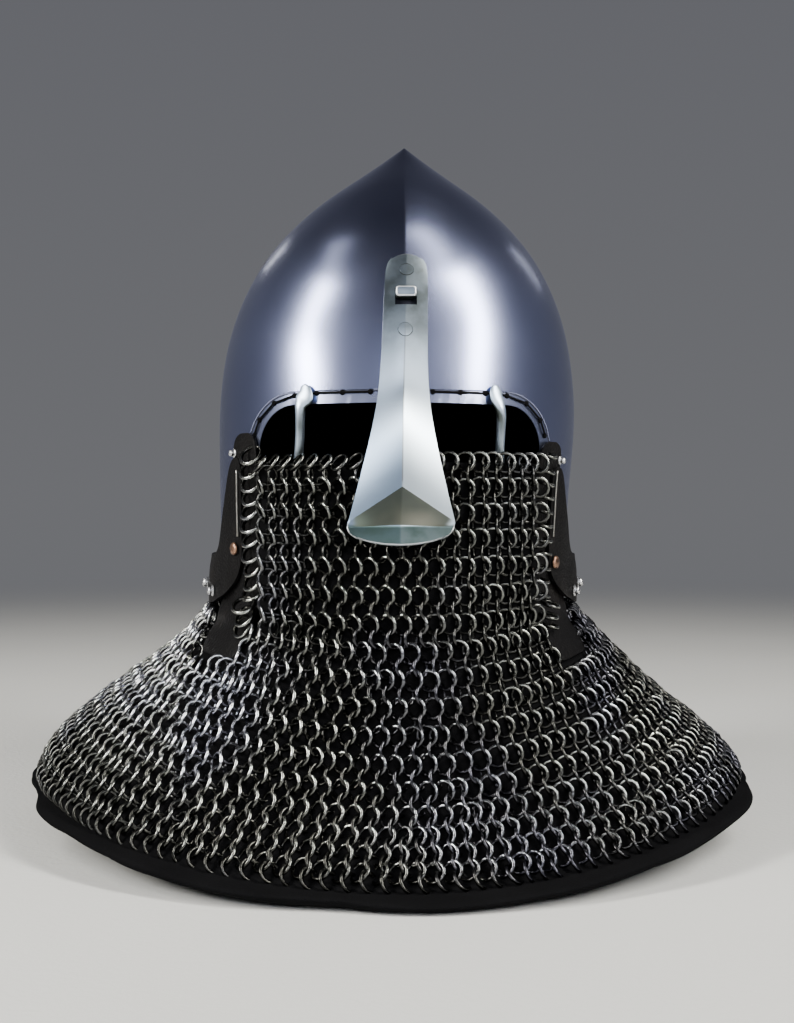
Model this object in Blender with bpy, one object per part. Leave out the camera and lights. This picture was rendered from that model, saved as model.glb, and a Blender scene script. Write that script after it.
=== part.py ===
"""Bascinet: a pointed steel skull with an open face, a keeled nasal on its brow, two guard bars,
a leather band with studs, and a mail aventail over a black padded lining.

Millimetres below, metres in the scene. The face looks along -Y, +X is to the right as seen, +Z is up,
and the hem rests on the plane z = 0.
"""

import math

import bmesh
import bpy
import numpy as np

MM = 0.001
SHIFT_X = 4.5  # the skull's middle stands this far off the middle of the hem
SHIFT_Y = 2.25

STEEL = 2.0  # skull sheet
GAP = 0.35  # air between neighbouring pieces
LEATHER = 3.0  # raised band
FLAP = 2.0  # thin leather under the band
MAIL = 4.0  # mail, rings and all
PAD = 8.0  # padded lining under the mantle
CLOTH = 2.0  # lining behind the face mail
NASAL = 2.4

RIDGE_FRONT = 3.5
RIDGE_BACK = 2.0
RIDGE_WIDTH = 35.0

BROW_Z = 265.0  # upper edge of the face opening
BROW_HALF = 81.0
BROW_CORNER = 21.0
LOWER_HALF = 84.0
SKULL_FOOT = 146.0

PANEL_ANGLE = 43.5  # half the face mail's spread, in degrees round the skull
HOOK_HALF = 5.95
HOOK_Z = (326.8, 332.9)
RIVET_R = 4.2

# height, half width, front reach, back reach, lean to +X (reaches from the skull's middle plane)
SKULL_ROWS = [
    (452.0, 0.0, -25.0, 25.0, 5.5),
    (445.0, 8.5, -14.0, 35.5, 5.2),
    (431.0, 26.0, 7.5, 54.0, 4.6),
    (411.0, 52.7, 39.5, 77.0, 3.8),
    (386.5, 77.6, 71.5, 98.0, 2.9),
    (360.0, 95.7, 98.5, 112.5, 2.0),
    (332.0, 108.0, 114.5, 122.5, 1.2),
    (300.0, 115.6, 125.0, 129.0, 0.4),
    (265.0, 118.3, 130.0, 130.5, 0.0),
    (250.0, 117.9, 130.8, 130.0, -0.3),
    (225.0, 116.2, 130.6, 127.5, -1.6),
    (200.0, 115.0, 130.0, 124.0, -2.2),
    (170.0, 113.5, 128.0, 117.0, -2.7),
    (143.0, 112.5, 126.0, 108.0, -3.0),
]
SKULL_HEIGHTS = [
    452.0, 446.0, 438.0, 425.0, 411.0, 398.0, 384.0, 369.0, 352.0, 333.0, 312.0, 290.0,
    266.7, 242.0, 218.0, 194.0, 170.0, 146.0,
]

# front height, front reach, side height, left reach, right reach, back height, back reach, along the
# middle of the mail
MAIL_ROWS = [
    (240.0, 134.0, 240.0, 125.5, 123.0, 240.0, 124.0),
    (218.0, 136.0, 218.0, 125.5, 123.0, 218.0, 124.0),
    (196.0, 138.5, 196.0, 125.5, 122.5, 196.0, 124.0),
    (174.0, 141.5, 174.0, 125.0, 122.0, 174.0, 122.0),
    (152.0, 144.5, 155.0, 124.0, 119.5, 155.0, 117.0),
    (131.0, 147.5, 140.0, 122.0, 114.0, 140.0, 114.0),
    (116.0, 150.5, 128.0, 130.0, 122.5, 126.0, 120.0),
    (100.0, 154.0, 116.0, 141.5, 134.0, 111.0, 129.0),
    (84.0, 157.5, 104.0, 157.0, 146.5, 95.0, 141.0),
    (67.0, 162.0, 90.0, 177.0, 161.5, 79.0, 153.0),
    (50.0, 168.0, 76.0, 196.0, 178.0, 62.0, 166.0),
    (34.5, 177.0, 63.0, 212.0, 195.0, 45.0, 178.0),
    (20.5, 189.5, 50.0, 224.0, 209.5, 27.0, 190.0),
    (7.0, 205.0, 34.5, 232.0, 223.0, 9.5, 202.0),
]
FIRST_FULL = 5  # the row from which the mail runs all the way round
# the lining's own hem: top edge, then underside
HEM_TOP = (5.4, 217.5, 35.0, 238.5, 229.5, 5.6, 213.0)
HEM_UNDER = (0.0, 212.0, 27.0, 233.5, 224.5, 0.0, 207.5)

# keel height, edge height, half width, keel reach, edge reach; no reach where the plate lies on the skull
NASAL_ROWS = [
    (355.0, 350.5, 10.6, None, None),
    (350.5, 345.5, 12.4, None, None),
    (340.0, 338.0, 12.8, None, None),
    (325.0, 324.0, 13.0, None, None),
    (308.0, 307.0, 13.2, None, None),
    (292.0, 290.0, 13.4, None, None),
    (277.0, 274.0, 14.4, None, None),
    (265.0, 260.0, 16.1, 139.5, 135.2),
    (253.0, 244.5, 19.0, 145.0, 138.4),
    (241.0, 228.5, 22.7, 152.5, 143.0),
    (229.5, 212.5, 26.5, 161.0, 148.7),
    (217.6, 197.8, 30.1, 172.0, 156.0),
    (207.0, 196.6, 30.0, 165.0, 156.4),
    (196.5, 195.2, 29.8, 158.0, 156.8),
    (190.5, 193.4, 29.2, 160.4, 157.8),
    (185.5, 190.6, 26.4, 162.4, 159.2),
]
NASAL_TOP_X = 3.4
NASAL_TIP_X = -1.3

BAR_R = 2.65
# x, y, z, half width, half thickness; no y where the bar lies on the skull
BAR_PATH = [
    (56.0, None, 276.6, 2.6, 0.9),
    (55.6, None, 273.6, 4.6, 1.3),
    (56.0, None, 269.4, 5.2, 1.6),
    (58.2, None, 264.3, 3.5, 2.3),
    (58.7, -115.2, 258.0, 2.8, 2.65),
    (58.7, -113.2, 250.0, 2.7, 2.65),
    (59.1, -111.0, 239.0, 2.65, 2.65),
    (61.0, -107.2, 227.0, 2.65, 2.65),
    (65.0, -102.8, 215.0, 2.65, 2.65),
    (72.0, -97.0, 206.0, 2.65, 2.65),
    (77.0, -92.4, 200.5, 2.65, 2.65),
]

# angle round the skull, lower height, upper height of the raised leather
BAND_EDGE = [
    (51.6, 181.0, 229.0),
    (52.4, 172.0, 233.5),
    (53.6, 166.0, 235.5),
    (55.5, 160.5, 235.5),
    (57.5, 157.0, 231.5),
    (59.0, 155.0, 224.0),
    (60.5, 153.3, 214.0),
    (62.5, 151.5, 204.0),
    (64.5, 150.0, 194.0),
    (66.5, 148.7, 184.0),
    (69.5, 147.0, 178.0),
    (73.0, 145.0, 175.5),
    (78.0, 144.0, 175.0),
]
BAND_BACK = (144.0, 175.0)
FLAP_TOP_RIGHT = -5.0  # the right flap's tab stands this much lower
COPPER_Z = {"left": 180.3, "right": 172.0}

# name, angle, height, radius
STUDS = [
    ("vervelle_upper", 56.8, 238.6, 2.4),
    ("vervelle_side", 84.0, 156.0, 3.4),
    ("vervelle_front", 71.0, 152.5, 3.2),
    ("vervelle_b1", 106.0, 156.0, 3.4),
    ("vervelle_b2", 130.0, 156.0, 3.4),
    ("vervelle_b3", 155.0, 156.0, 3.4),
]


def fit(xs, ys, x):
    """Monotone cubic through a table, so that a profile has no waves between its rows."""
    xs = np.asarray(xs, float)
    ys = np.asarray(ys, float)
    if xs[0] > xs[-1]:
        xs = xs[::-1]
        ys = ys[::-1]
    h = np.diff(xs)
    d = np.diff(ys) / h
    m = np.zeros_like(ys)
    m[0] = d[0]
    m[-1] = d[-1]
    same = d[:-1] * d[1:] > 0
    w1 = 2 * h[1:] + h[:-1]
    w2 = h[1:] + 2 * h[:-1]
    inner = np.zeros(len(d) - 1)
    inner[same] = ((w1 + w2)[same]) / (w1[same] / d[:-1][same] + w2[same] / d[1:][same])
    m[1:-1] = inner
    x = np.clip(x, xs[0], xs[-1])
    i = np.clip(np.searchsorted(xs, x, side="right") - 1, 0, len(h) - 1)
    t = (x - xs[i]) / h[i]
    return (
        ys[i] * (1 + 2 * t) * (1 - t) ** 2
        + m[i] * h[i] * t * (1 - t) ** 2
        + ys[i + 1] * t * t * (3 - 2 * t)
        - m[i + 1] * h[i] * t * t * (1 - t)
    )


def skull_row(z):
    """half width, middle y, half depth and lean of the skull at a height."""
    rows = np.array(SKULL_ROWS)
    a = float(fit(rows[:, 0], rows[:, 1], z))
    f = float(fit(rows[:, 0], rows[:, 2], z))
    b = float(fit(rows[:, 0], rows[:, 3], z))
    lean = float(fit(rows[:, 0], rows[:, 4], z))
    return a, (b - f) / 2, (b + f) / 2, lean


def ridge(x, z, front):
    height = RIDGE_FRONT if front else RIDGE_BACK
    fade = min(1.0, max(0.0, (452.0 - z) / 30.0))
    return height * fade * max(0.0, 1 - abs(x) / RIDGE_WIDTH) ** 2


def skull_raw(angle, z):
    a, mid, d, lean = skull_row(z)
    t = math.radians(angle)
    x = a * math.sin(t)
    y = mid - d * math.cos(t)
    rise = ridge(x, z, math.cos(t) > 0)
    y -= rise if math.cos(t) > 0 else -rise
    return np.array([x + lean, y, z])


def skull_point(angle, z, out=0.0):
    """A point on the skull's outer face, or this far off it along its normal."""
    p = skull_raw(angle, z)
    if not out:
        return p
    du = skull_raw(angle + 1.0, z) - skull_raw(angle - 1.0, z)
    dz = skull_raw(angle, min(z + 1.5, 451.0)) - skull_raw(angle, z - 1.5)
    n = np.cross(du, dz)
    return p + out * n / np.linalg.norm(n)


def skull_front(x, z):
    """y of the skull's front face at this x and height, and the y part of its normal."""
    def face(px, pz):
        a, mid, d, lean = skull_row(pz)
        u = px - lean
        return mid - d * math.sqrt(max(0.0, 1 - (u / a) ** 2)) - ridge(u, pz, True)

    y = face(x, z)
    sx = (face(x + 1, z) - face(x - 1, z)) / 2
    sz = (face(x, z + 1) - face(x, z - 1)) / 2
    return y, 1 / math.sqrt(1 + sx * sx + sz * sz)


def place(angle, values):
    """A point round a ring of the mantle, from its row of seven sizes."""
    t = math.radians(angle)
    zf, f, zs, left, right, zb, b = values
    z_mid, reach = (zf, f) if math.cos(t) > 0 else (zb, b)
    side = left if math.sin(t) < 0 else right
    share = math.sin(t) ** 2
    return np.array([side * math.sin(t), -reach * math.cos(t), z_mid + (zs - z_mid) * share])


def mantle_raw(angle, row):
    """A point along the middle of the mail, at a row number that need not be whole."""
    rows = np.array(MAIL_ROWS)
    n = np.arange(len(rows), dtype=float)
    return place(angle, [float(fit(n, rows[:, c], row)) for c in range(7)])


def mantle_point(angle, row, out=0.0):
    p = mantle_raw(angle, row)
    du = mantle_raw(angle + 1.0, row) - mantle_raw(angle - 1.0, row)
    last = len(MAIL_ROWS) - 1.0
    dr = mantle_raw(angle, max(row - 0.2, 0.0)) - mantle_raw(angle, min(row + 0.2, last))
    n = np.cross(du, dr)
    return p + out * n / np.linalg.norm(n)


def clear_scene():
    for obj in list(bpy.data.objects):
        bpy.data.objects.remove(obj, do_unlink=True)


def material(name, color, metallic, roughness):
    found = bpy.data.materials.get(name)
    if found:
        return found
    made = bpy.data.materials.new(name)
    made.use_nodes = True
    shader = made.node_tree.nodes["Principled BSDF"]
    shader.inputs["Base Color"].default_value = (*color, 1.0)
    shader.inputs["Metallic"].default_value = metallic
    shader.inputs["Roughness"].default_value = roughness
    made.diffuse_color = (*color, 1.0)
    return made


def finish(name, bm, mat):
    bmesh.ops.remove_doubles(bm, verts=bm.verts, dist=1e-6)
    bmesh.ops.dissolve_degenerate(bm, edges=bm.edges, dist=1e-7)
    bmesh.ops.recalc_face_normals(bm, faces=bm.faces)
    bmesh.ops.translate(bm, verts=bm.verts, vec=(SHIFT_X * MM, SHIFT_Y * MM, 0))
    mesh = bpy.data.meshes.new(name)
    bm.to_mesh(mesh)
    bm.free()
    obj = bpy.data.objects.new(name, mesh)
    obj.data.materials.append(mat)
    bpy.context.scene.collection.objects.link(obj)
    return obj


def wall(name, outer, inner, cells, mat, closed):
    """A closed wall between two grids of points, kept only where cells is true."""
    bm = bmesh.new()
    rows = len(outer)
    cols = len(outer[0])
    made = {}

    def vert(side, r, c):
        key = (side, r, c % cols)
        if key not in made:
            made[key] = bm.verts.new((outer, inner)[side][r][c % cols] * MM)
        return made[key]

    edges = {}
    for r in range(rows - 1):
        for c in range(cols if closed else cols - 1):
            if not cells(r, c):
                continue
            ring = [(r, c), (r, c + 1), (r + 1, c + 1), (r + 1, c)]
            bm.faces.new([vert(0, *k) for k in ring])
            bm.faces.new([vert(1, *k) for k in reversed(ring)])
            for a, b in zip(ring, ring[1:] + ring[:1]):
                key = frozenset(((a[0], a[1] % cols), (b[0], b[1] % cols)))
                edges.setdefault(key, []).append((a, b))
    for found in edges.values():
        if len(found) != 1:
            continue
        a, b = found[0]
        corner = [vert(0, *a), vert(0, *b), vert(1, *b), vert(1, *a)]
        if (corner[0].co - corner[1].co).length < 1e-9:
            continue
        bm.faces.new(corner[::-1])
    return finish(name, bm, mat)


def cut(obj, cutter):
    step = obj.modifiers.new("cut_" + cutter.name, "BOOLEAN")
    step.operation = "DIFFERENCE"
    step.solver = "EXACT"
    step.object = cutter
    cutter.hide_render = True
    cutter.display_type = "WIRE"


def prism(name, outline, y0, y1):
    """A cutter: an outline in x and z, drawn from y0 to y1."""
    bm = bmesh.new()
    near = [bm.verts.new((x * MM, y0 * MM, z * MM)) for x, z in outline]
    far = [bm.verts.new((x * MM, y1 * MM, z * MM)) for x, z in outline]
    bm.faces.new(near)
    bm.faces.new(far[::-1])
    for i in range(len(outline)):
        j = (i + 1) % len(outline)
        bm.faces.new([near[i], far[i], far[j], near[j]])
    return finish(name, bm, material("cutter", (0.5, 0.5, 0.5), 0.0, 0.5))


def opening_outline():
    points = []
    for i in range(9):
        t = math.pi / 2 * i / 8
        x = BROW_HALF - BROW_CORNER + BROW_CORNER * math.sin(t)
        z = BROW_Z - BROW_CORNER + BROW_CORNER * math.cos(t)
        points.append((x, z))
    points.append((LOWER_HALF, 120.0))
    return points + [(-x, z) for x, z in reversed(points)]


def make_skull(mat):
    angles = [360.0 * i / 56 for i in range(56)]
    outer = []
    inner = []
    for z in SKULL_HEIGHTS:
        outer.append([skull_point(a, z) for a in angles])
        inner.append([skull_point(a, min(z, 450.0), -STEEL) for a in angles])
    top = outer[0][0]
    inner[0] = [top - np.array([0.0, 0.0, STEEL * 2.0])] * len(angles)
    inner[-1] = [np.array([p[0], p[1], SKULL_FOOT]) for p in inner[-1]]
    skull = wall("skull", outer, inner, lambda r, c: True, mat, True)
    cut(skull, prism("face_cutter", opening_outline(), -220.0, -20.0))
    return skull


def nasal_middle(z):
    return NASAL_TIP_X + (NASAL_TOP_X - NASAL_TIP_X) * (z - 197.0) / 158.0


def nasal_grid():
    across = [-1.0, -0.78, -0.52, -0.26, 0.0, 0.26, 0.52, 0.78, 1.0]
    grid = []
    for i, (zk, ze, half, keel, edge) in enumerate(NASAL_ROWS):
        row = []
        for t in across:
            power = 2.4 if i < 3 or i > 13 else 1.0
            z = zk + (ze - zk) * abs(t) ** power
            x = nasal_middle(zk) + half * t
            if keel is None:
                y, ny = skull_front(x, z)
                y -= (GAP + NASAL) / ny + 0.1
            else:
                y = -(keel + (edge - keel) * abs(t) ** (2.0 if i > 12 else 1.0))
            row.append(np.array([x, y, z]))
        grid.append(row)
    return grid


def grid_normals(grid):
    p = np.array(grid)
    du = np.gradient(p, axis=1)
    dv = np.gradient(p, axis=0)
    n = np.cross(du, -dv)
    return n / np.linalg.norm(n, axis=2)[:, :, None]


def make_nasal(mat):
    grid = nasal_grid()
    bm = bmesh.new()
    verts = [[bm.verts.new(p * MM) for p in row] for row in grid]
    for r in range(len(grid) - 1):
        for c in range(len(grid[0]) - 1):
            bm.faces.new([verts[r][c], verts[r][c + 1], verts[r + 1][c + 1], verts[r + 1][c]])
    nasal = finish("nasal", bm, mat)
    if nasal.data.polygons[20].normal.y > 0:
        nasal.data.flip_normals()
    thick = nasal.modifiers.new("thickness", "SOLIDIFY")
    thick.thickness = NASAL * MM
    thick.offset = -1.0
    thick.use_even_offset = True
    mid = nasal_middle(330.0)
    slot = [
        (mid - HOOK_HALF - 0.4, 322.8),
        (mid + HOOK_HALF + 0.4, 322.8),
        (mid + HOOK_HALF + 0.4, HOOK_Z[1] + 0.4),
        (mid - HOOK_HALF - 0.4, HOOK_Z[1] + 0.4),
    ]
    cut(nasal, prism("slot_cutter", slot, -150.0, -85.0))
    for i, z in enumerate((343.3, 307.3)):
        ring = []
        for k in range(20):
            t = 2 * math.pi * k / 20
            r = RIVET_R + 0.3
            ring.append((nasal_middle(z) + r * math.cos(t), z + r * math.sin(t)))
        cut(nasal, prism("rivet_cutter_%d" % i, ring, -150.0, -85.0))
    return nasal


def disc(name, x, z, radius, mat, back, front):
    """A plug whose two faces follow the plate: back and front give y at a place."""
    bm = bmesh.new()
    rings = []
    for share in (0.55, 1.0):
        near = []
        far = []
        for k in range(20):
            t = 2 * math.pi * (k + 0.5) / 20
            px = x + radius * share * math.cos(t)
            pz = z + radius * share * math.sin(t)
            near.append(bm.verts.new(np.array([px, front(px, pz), pz]) * MM))
            far.append(bm.verts.new(np.array([px, back(px, pz), pz]) * MM))
        rings.append((near, far))
    (n0, f0), (n1, f1) = rings
    near_mid = bm.verts.new(np.array([x, front(x, z), z]) * MM)
    far_mid = bm.verts.new(np.array([x, back(x, z), z]) * MM)
    for k in range(20):
        j = (k + 1) % 20
        bm.faces.new([near_mid, n0[k], n0[j]])
        bm.faces.new([far_mid, f0[j], f0[k]])
        bm.faces.new([n0[k], n1[k], n1[j], n0[j]])
        bm.faces.new([f0[k], f0[j], f1[j], f1[k]])
        bm.faces.new([n1[k], f1[k], f1[j], n1[j]])
    return finish(name, bm, mat)


def on_skull(gap):
    def place(x, z):
        y, ny = skull_front(x, z)
        return y - gap / ny

    return place


def make_hook(mat):
    """A staple that stands through the nasal's slot: a rounded block with its foot on the skull."""
    mid = nasal_middle(330.0)
    z0, z1 = HOOK_Z
    zc = (z0 + z1) / 2
    zh = (z1 - z0) / 2
    y_foot = skull_front(skull_row(zc)[3], zc)[0]
    slope = (skull_front(0.0, zc + 3.0)[0] - skull_front(0.0, zc - 3.0)[0]) / 6.0
    bm = bmesh.new()
    rings = []
    depths = [-0.9, -6.2, -7.4, -8.0]
    shrink = [0.0, 0.0, 0.5, 1.5]
    for depth, less in zip(depths, shrink):
        ring = []
        for k in range(16):
            t = 2 * math.pi * (k + 0.5) / 16
            cx = math.copysign(abs(math.cos(t)) ** 0.5, math.cos(t))
            cz = math.copysign(abs(math.sin(t)) ** 0.5, math.sin(t))
            px = mid + (HOOK_HALF - less) * cx
            pz = zc + (zh - less) * cz
            y = y_foot + depth + (pz - zc) * slope
            ring.append(bm.verts.new(np.array([px, y, pz]) * MM))
        rings.append(ring)
    for a, b in zip(rings, rings[1:]):
        for k in range(16):
            j = (k + 1) % 16
            bm.faces.new([a[k], a[j], b[j], b[k]])
    bm.faces.new(rings[0][::-1])
    bm.faces.new(rings[-1])
    return finish("nasal_staple", bm, mat)


def sweep(name, path, mat, segments=10):
    """A bar along a path; each row is x, y, z, half width, half thickness. It bends about its own middle."""
    pts = np.array([p[:3] for p in path])
    tangent = np.gradient(pts, axis=0)
    bm = bmesh.new()
    rings = []
    for p, t, row in zip(pts, tangent, path):
        t = t / np.linalg.norm(t)
        outward = np.array([p[0] / 118.0 ** 2, p[1] / 130.0 ** 2, 0.0])
        wide = np.cross(t, outward)
        wide /= np.linalg.norm(wide)
        deep = np.cross(wide, t)
        ring = []
        for k in range(segments):
            a = 2 * math.pi * k / segments
            q = p + wide * row[3] * math.cos(a) + deep * row[4] * math.sin(a)
            ring.append(bm.verts.new(q * MM))
        rings.append(ring)
    for a, b in zip(rings, rings[1:]):
        for k in range(segments):
            j = (k + 1) % segments
            bm.faces.new([a[k], a[j], b[j], b[k]])
    bm.faces.new(rings[0][::-1])
    bm.faces.new(rings[-1])
    return finish(name, bm, mat)


def bar_path(side):
    path = []
    for x, y, z, wide, deep in BAR_PATH:
        px = side * x + skull_row(z)[3]
        if y is None:
            face, ny = skull_front(px, z)
            y = face - (GAP + deep + 0.15) / ny
        path.append((px, y, z, wide, deep))
    return path


def band_off(angle, z):
    """How far the raised leather stands off the skull: it bulges over the lower edge, away from the face."""
    side = min(1.0, max(0.0, (abs(angle) - 62.0) / 14.0))
    bulge = min(1.0, max(0.0, (178.0 - z) / 12.0))
    low = min(1.0, max(0.0, (168.0 - z) / 14.0))
    return GAP + FLAP + GAP + 0.2 + 0.9 * low + 2.0 * side * side * (3 - 2 * side) * bulge


def make_band(mat):
    rows = np.array(BAND_EDGE)
    front = list(rows[:, 0])
    back = [83.0, 92.0, 102.0, 112.0, 122.0, 132.0, 142.0, 152.0, 162.0, 171.0]
    half = front + back
    angles = [-a for a in half[::-1]] + half
    angles = half + [180.0] + [360.0 - a for a in half[::-1]]
    outer = []
    inner = []
    steps = 11
    for i in range(steps):
        share = i / (steps - 1)
        out_row = []
        in_row = []
        for a in angles:
            g = a if a <= 180.0 else 360.0 - a
            if g <= rows[-1, 0]:
                low = float(fit(rows[:, 0], rows[:, 1], g))
                high = float(fit(rows[:, 0], rows[:, 2], g))
                if a < 180.0 and high > 190.0:
                    high += FLAP_TOP_RIGHT * min(1.0, (high - 190.0) / 30.0)
            else:
                low, high = BAND_BACK
            z = high + (low - high) * share
            off = band_off(g, z)
            in_row.append(skull_point(a, z, off))
            out_row.append(skull_point(a, z, off + LEATHER))
        outer.append(out_row)
        inner.append(in_row)
    return wall("leather_band", outer, inner, lambda r, c: True, mat, False)


def make_flap(name, side, mat):
    """Thin leather from under the band down onto the shoulder of the mantle."""
    # front angle, back angle, height on the skull or row on the mantle
    rows = [
        (49.6, 53.6, 250.5, None),
        (47.8, 55.6, 248.8, None),
        (46.5, 57.2, 245.5, None),
        (45.8, 58.0, 239.0, None),
        (45.3, 57.6, 228.0, None),
        (45.0, 57.6, 205.0, None),
        (45.0, 60.0, 182.0, None),
        (45.0, 66.0, 166.0, None),
        (45.6, 68.5, 150.0, None),
        (46.2, 67.0, None, 4.95),
        (46.5, 66.5, None, 5.5),
        (46.8, 65.0, None, 6.1),
        (47.5, 62.0, None, 6.65),
    ]
    outer = []
    inner = []
    for a0, a1, z, row in rows:
        out_row = []
        in_row = []
        for i in range(8):
            a = mirrored(a0 + (a1 - a0) * i / 7, side)
            if z is not None:
                drop = FLAP_TOP_RIGHT if side > 0 and z > 230.0 else 0.0
                lift = GAP + 0.1
                p_out = skull_point(a, z + drop, lift + FLAP)
                p_in = skull_point(a, z + drop, lift)
            else:
                p_out = mantle_point(a, row, 0.3)
                p_in = mantle_point(a, row, 0.3 - FLAP)
            out_row.append(p_out)
            in_row.append(p_in)
        outer.append(out_row)
        inner.append(in_row)
    return wall(name, outer, inner, lambda r, c: True, mat, False)


def stud(name, angle, z, radius, off, mat, height=3.6):
    """A round-headed stud standing on a surface that is this far off the skull."""
    foot = skull_point(angle, z, off)
    n = skull_point(angle, z, off + 1.0) - foot
    u = np.cross(n, [0.0, 0.0, 1.0])
    u /= np.linalg.norm(u)
    v = np.cross(n, u)
    bm = bmesh.new()
    rings = []
    for share, rise in ((1.0, 0.0), (1.0, 0.35), (0.86, 0.72), (0.5, 0.95)):
        ring = []
        for k in range(12):
            t = 2 * math.pi * k / 12
            q = foot + n * rise * height + radius * share * (u * math.cos(t) + v * math.sin(t))
            ring.append(bm.verts.new(q * MM))
        rings.append(ring)
    for a, b in zip(rings, rings[1:]):
        for k in range(12):
            j = (k + 1) % 12
            bm.faces.new([a[k], a[j], b[j], b[k]])
    bm.faces.new(rings[0][::-1])
    tip = bm.verts.new((foot + n * height) * MM)
    for k in range(12):
        bm.faces.new([rings[-1][k], rings[-1][(k + 1) % 12], tip])
    return finish(name, bm, mat)


def mail_angles():
    panel = [-PANEL_ANGLE + 2 * PANEL_ANGLE * i / 16 for i in range(17)]
    right = [48.0, 53.0, 58.0, 63.0, 68.0, 74.0, 81.0, 89.0, 98.0, 108.0, 118.0, 128.0, 138.0, 148.0, 158.0, 169.0]
    return panel + right + [180.0] + [360.0 - a for a in right[::-1]]


def mail_cell(angles):
    def keep(r, c):
        a0 = angles[c]
        a1 = angles[(c + 1) % len(angles)]
        mid = (a0 + (a1 if a1 >= a0 else a1 + 360.0)) / 2
        if mid > 180.0:
            mid -= 360.0
        side = abs(mid)
        if side < PANEL_ANGLE:
            return True
        if r < FIRST_FULL:
            return False
        if r == FIRST_FULL and side < 68.0:
            return False
        if r == FIRST_FULL + 1 and side < 68.0:
            return False
        return True

    return keep


def make_mail(mat):
    angles = mail_angles()
    count = len(MAIL_ROWS)
    outer = [[mantle_point(a, r, MAIL / 2) for a in angles] for r in range(count)]
    inner = [[mantle_point(a, r, -MAIL / 2) for a in angles] for r in range(count)]
    return wall("mail", outer, inner, mail_cell(angles), mat, True)


def make_lining(mat):
    angles = mail_angles()
    count = len(MAIL_ROWS)
    outer = []
    inner = []
    for r in range(count):
        thick = CLOTH if r < FIRST_FULL else CLOTH + (PAD - CLOTH) * min(1.0, (r - FIRST_FULL + 1) / 4)
        out_row = []
        in_row = []
        for a in angles:
            row = max(r, 0.36)
            if r == FIRST_FULL and PANEL_ANGLE + 1.0 < a < 359.0 - PANEL_ANGLE:
                row = FIRST_FULL + 0.4
            out_row.append(mantle_point(a, row, -MAIL / 2 - GAP))
            in_row.append(mantle_point(a, row, -MAIL / 2 - GAP - thick))
        if r == count - 1:
            in_row = [np.array([p[0], p[1], max(p[2], 1.0)]) for p in in_row]
        outer.append(out_row)
        inner.append(in_row)
    outer.append([place(a, HEM_TOP) for a in angles])
    inner.append([place(a, HEM_UNDER) for a in angles])

    def keep(r, c):
        if r >= FIRST_FULL:
            return True
        return mail_cell(angles)(r, c)

    return wall("mantle_lining", outer, inner, keep, mat, True)


def mirrored(angle, side):
    return angle if side > 0 else 360.0 - angle


def build():
    clear_scene()
    steel = material("polished_steel", (0.56, 0.56, 0.58), 1.0, 0.3)
    plate = material("satin_steel", (0.66, 0.67, 0.68), 1.0, 0.35)
    bar = material("bright_bar", (0.7, 0.7, 0.7), 1.0, 0.3)
    hide = material("black_leather", (0.025, 0.022, 0.021), 0.0, 0.55)
    silver = material("silver_stud", (0.75, 0.76, 0.77), 1.0, 0.25)
    rod = material("thin_rod", (0.62, 0.57, 0.46), 1.0, 0.3)
    copper = material("copper", (0.72, 0.42, 0.28), 1.0, 0.35)
    mail = material("dark_mail", (0.13, 0.13, 0.13), 1.0, 0.4)
    cloth = material("black_cloth", (0.012, 0.012, 0.013), 0.0, 0.95)

    make_skull(steel)
    make_nasal(plate)
    for name, z in (("nasal_rivet_upper", 343.3), ("nasal_rivet_lower", 307.3)):
        disc(name, nasal_middle(z), z, RIVET_R, plate, on_skull(GAP), on_skull(GAP + NASAL + 0.15))
    make_hook(plate)
    make_band(hide)
    for side, word in ((-1, "left"), (1, "right")):
        sweep("guard_bar_" + word, bar_path(side), bar)
        make_flap("leather_flap_" + word, side, hide)
        for name, angle, z, radius in STUDS:
            off = band_off(angle, z) + LEATHER + 0.3
            if z > 236.0:
                off = GAP + FLAP + 0.5
                z += 0.8 * FLAP_TOP_RIGHT if side > 0 else 0.0
            stud(name + "_" + word, mirrored(angle, side), z, radius, off, silver)
        off = band_off(55.0, 176.0) + LEATHER + 0.35
        stud("copper_rivet_" + word, mirrored(55.0, side), COPPER_Z[word], 4.0, off, copper, 1.8)
        rows = []
        for i in range(5):
            z = 228.0 + (188.0 - 228.0) * i / 4
            q = skull_point(mirrored(52.9, side), z, band_off(52.9, z) + LEATHER + 0.95)
            rows.append((q[0], q[1], q[2], 0.85, 0.85))
        sweep("vervelle_rod_" + word, rows, rod, 8)
    make_mail(mail)
    make_lining(cloth)


build()
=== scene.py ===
"""Bascinet: a pointed steel skull, a keeled nasal, guard bars, black leather with studs, and a mantle of
mail over a black padded lining.

The tables are in millimetres about the middle of the skull; the face looks along -Y and the hem stands
on z = 0.
"""

import math
from contextlib import contextmanager
from functools import partialmethod

import bmesh
import bpy
import numpy as np
from mathutils import Matrix, Vector


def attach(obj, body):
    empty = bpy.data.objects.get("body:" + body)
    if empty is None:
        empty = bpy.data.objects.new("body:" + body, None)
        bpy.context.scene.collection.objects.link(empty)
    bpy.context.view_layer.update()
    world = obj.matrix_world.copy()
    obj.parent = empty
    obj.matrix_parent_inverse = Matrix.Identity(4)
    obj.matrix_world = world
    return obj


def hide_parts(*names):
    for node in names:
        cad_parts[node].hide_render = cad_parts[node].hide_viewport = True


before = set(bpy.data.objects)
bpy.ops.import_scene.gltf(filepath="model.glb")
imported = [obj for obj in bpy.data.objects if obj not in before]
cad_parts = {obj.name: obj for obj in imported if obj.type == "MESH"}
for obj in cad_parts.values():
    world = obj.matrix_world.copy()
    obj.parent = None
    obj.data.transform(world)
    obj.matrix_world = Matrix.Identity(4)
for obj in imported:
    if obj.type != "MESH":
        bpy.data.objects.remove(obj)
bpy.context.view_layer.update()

MM = 0.001
SHIFT = np.array([4.5, 2.25, 0.0])  # where the middle of the skull stands in the part
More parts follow.
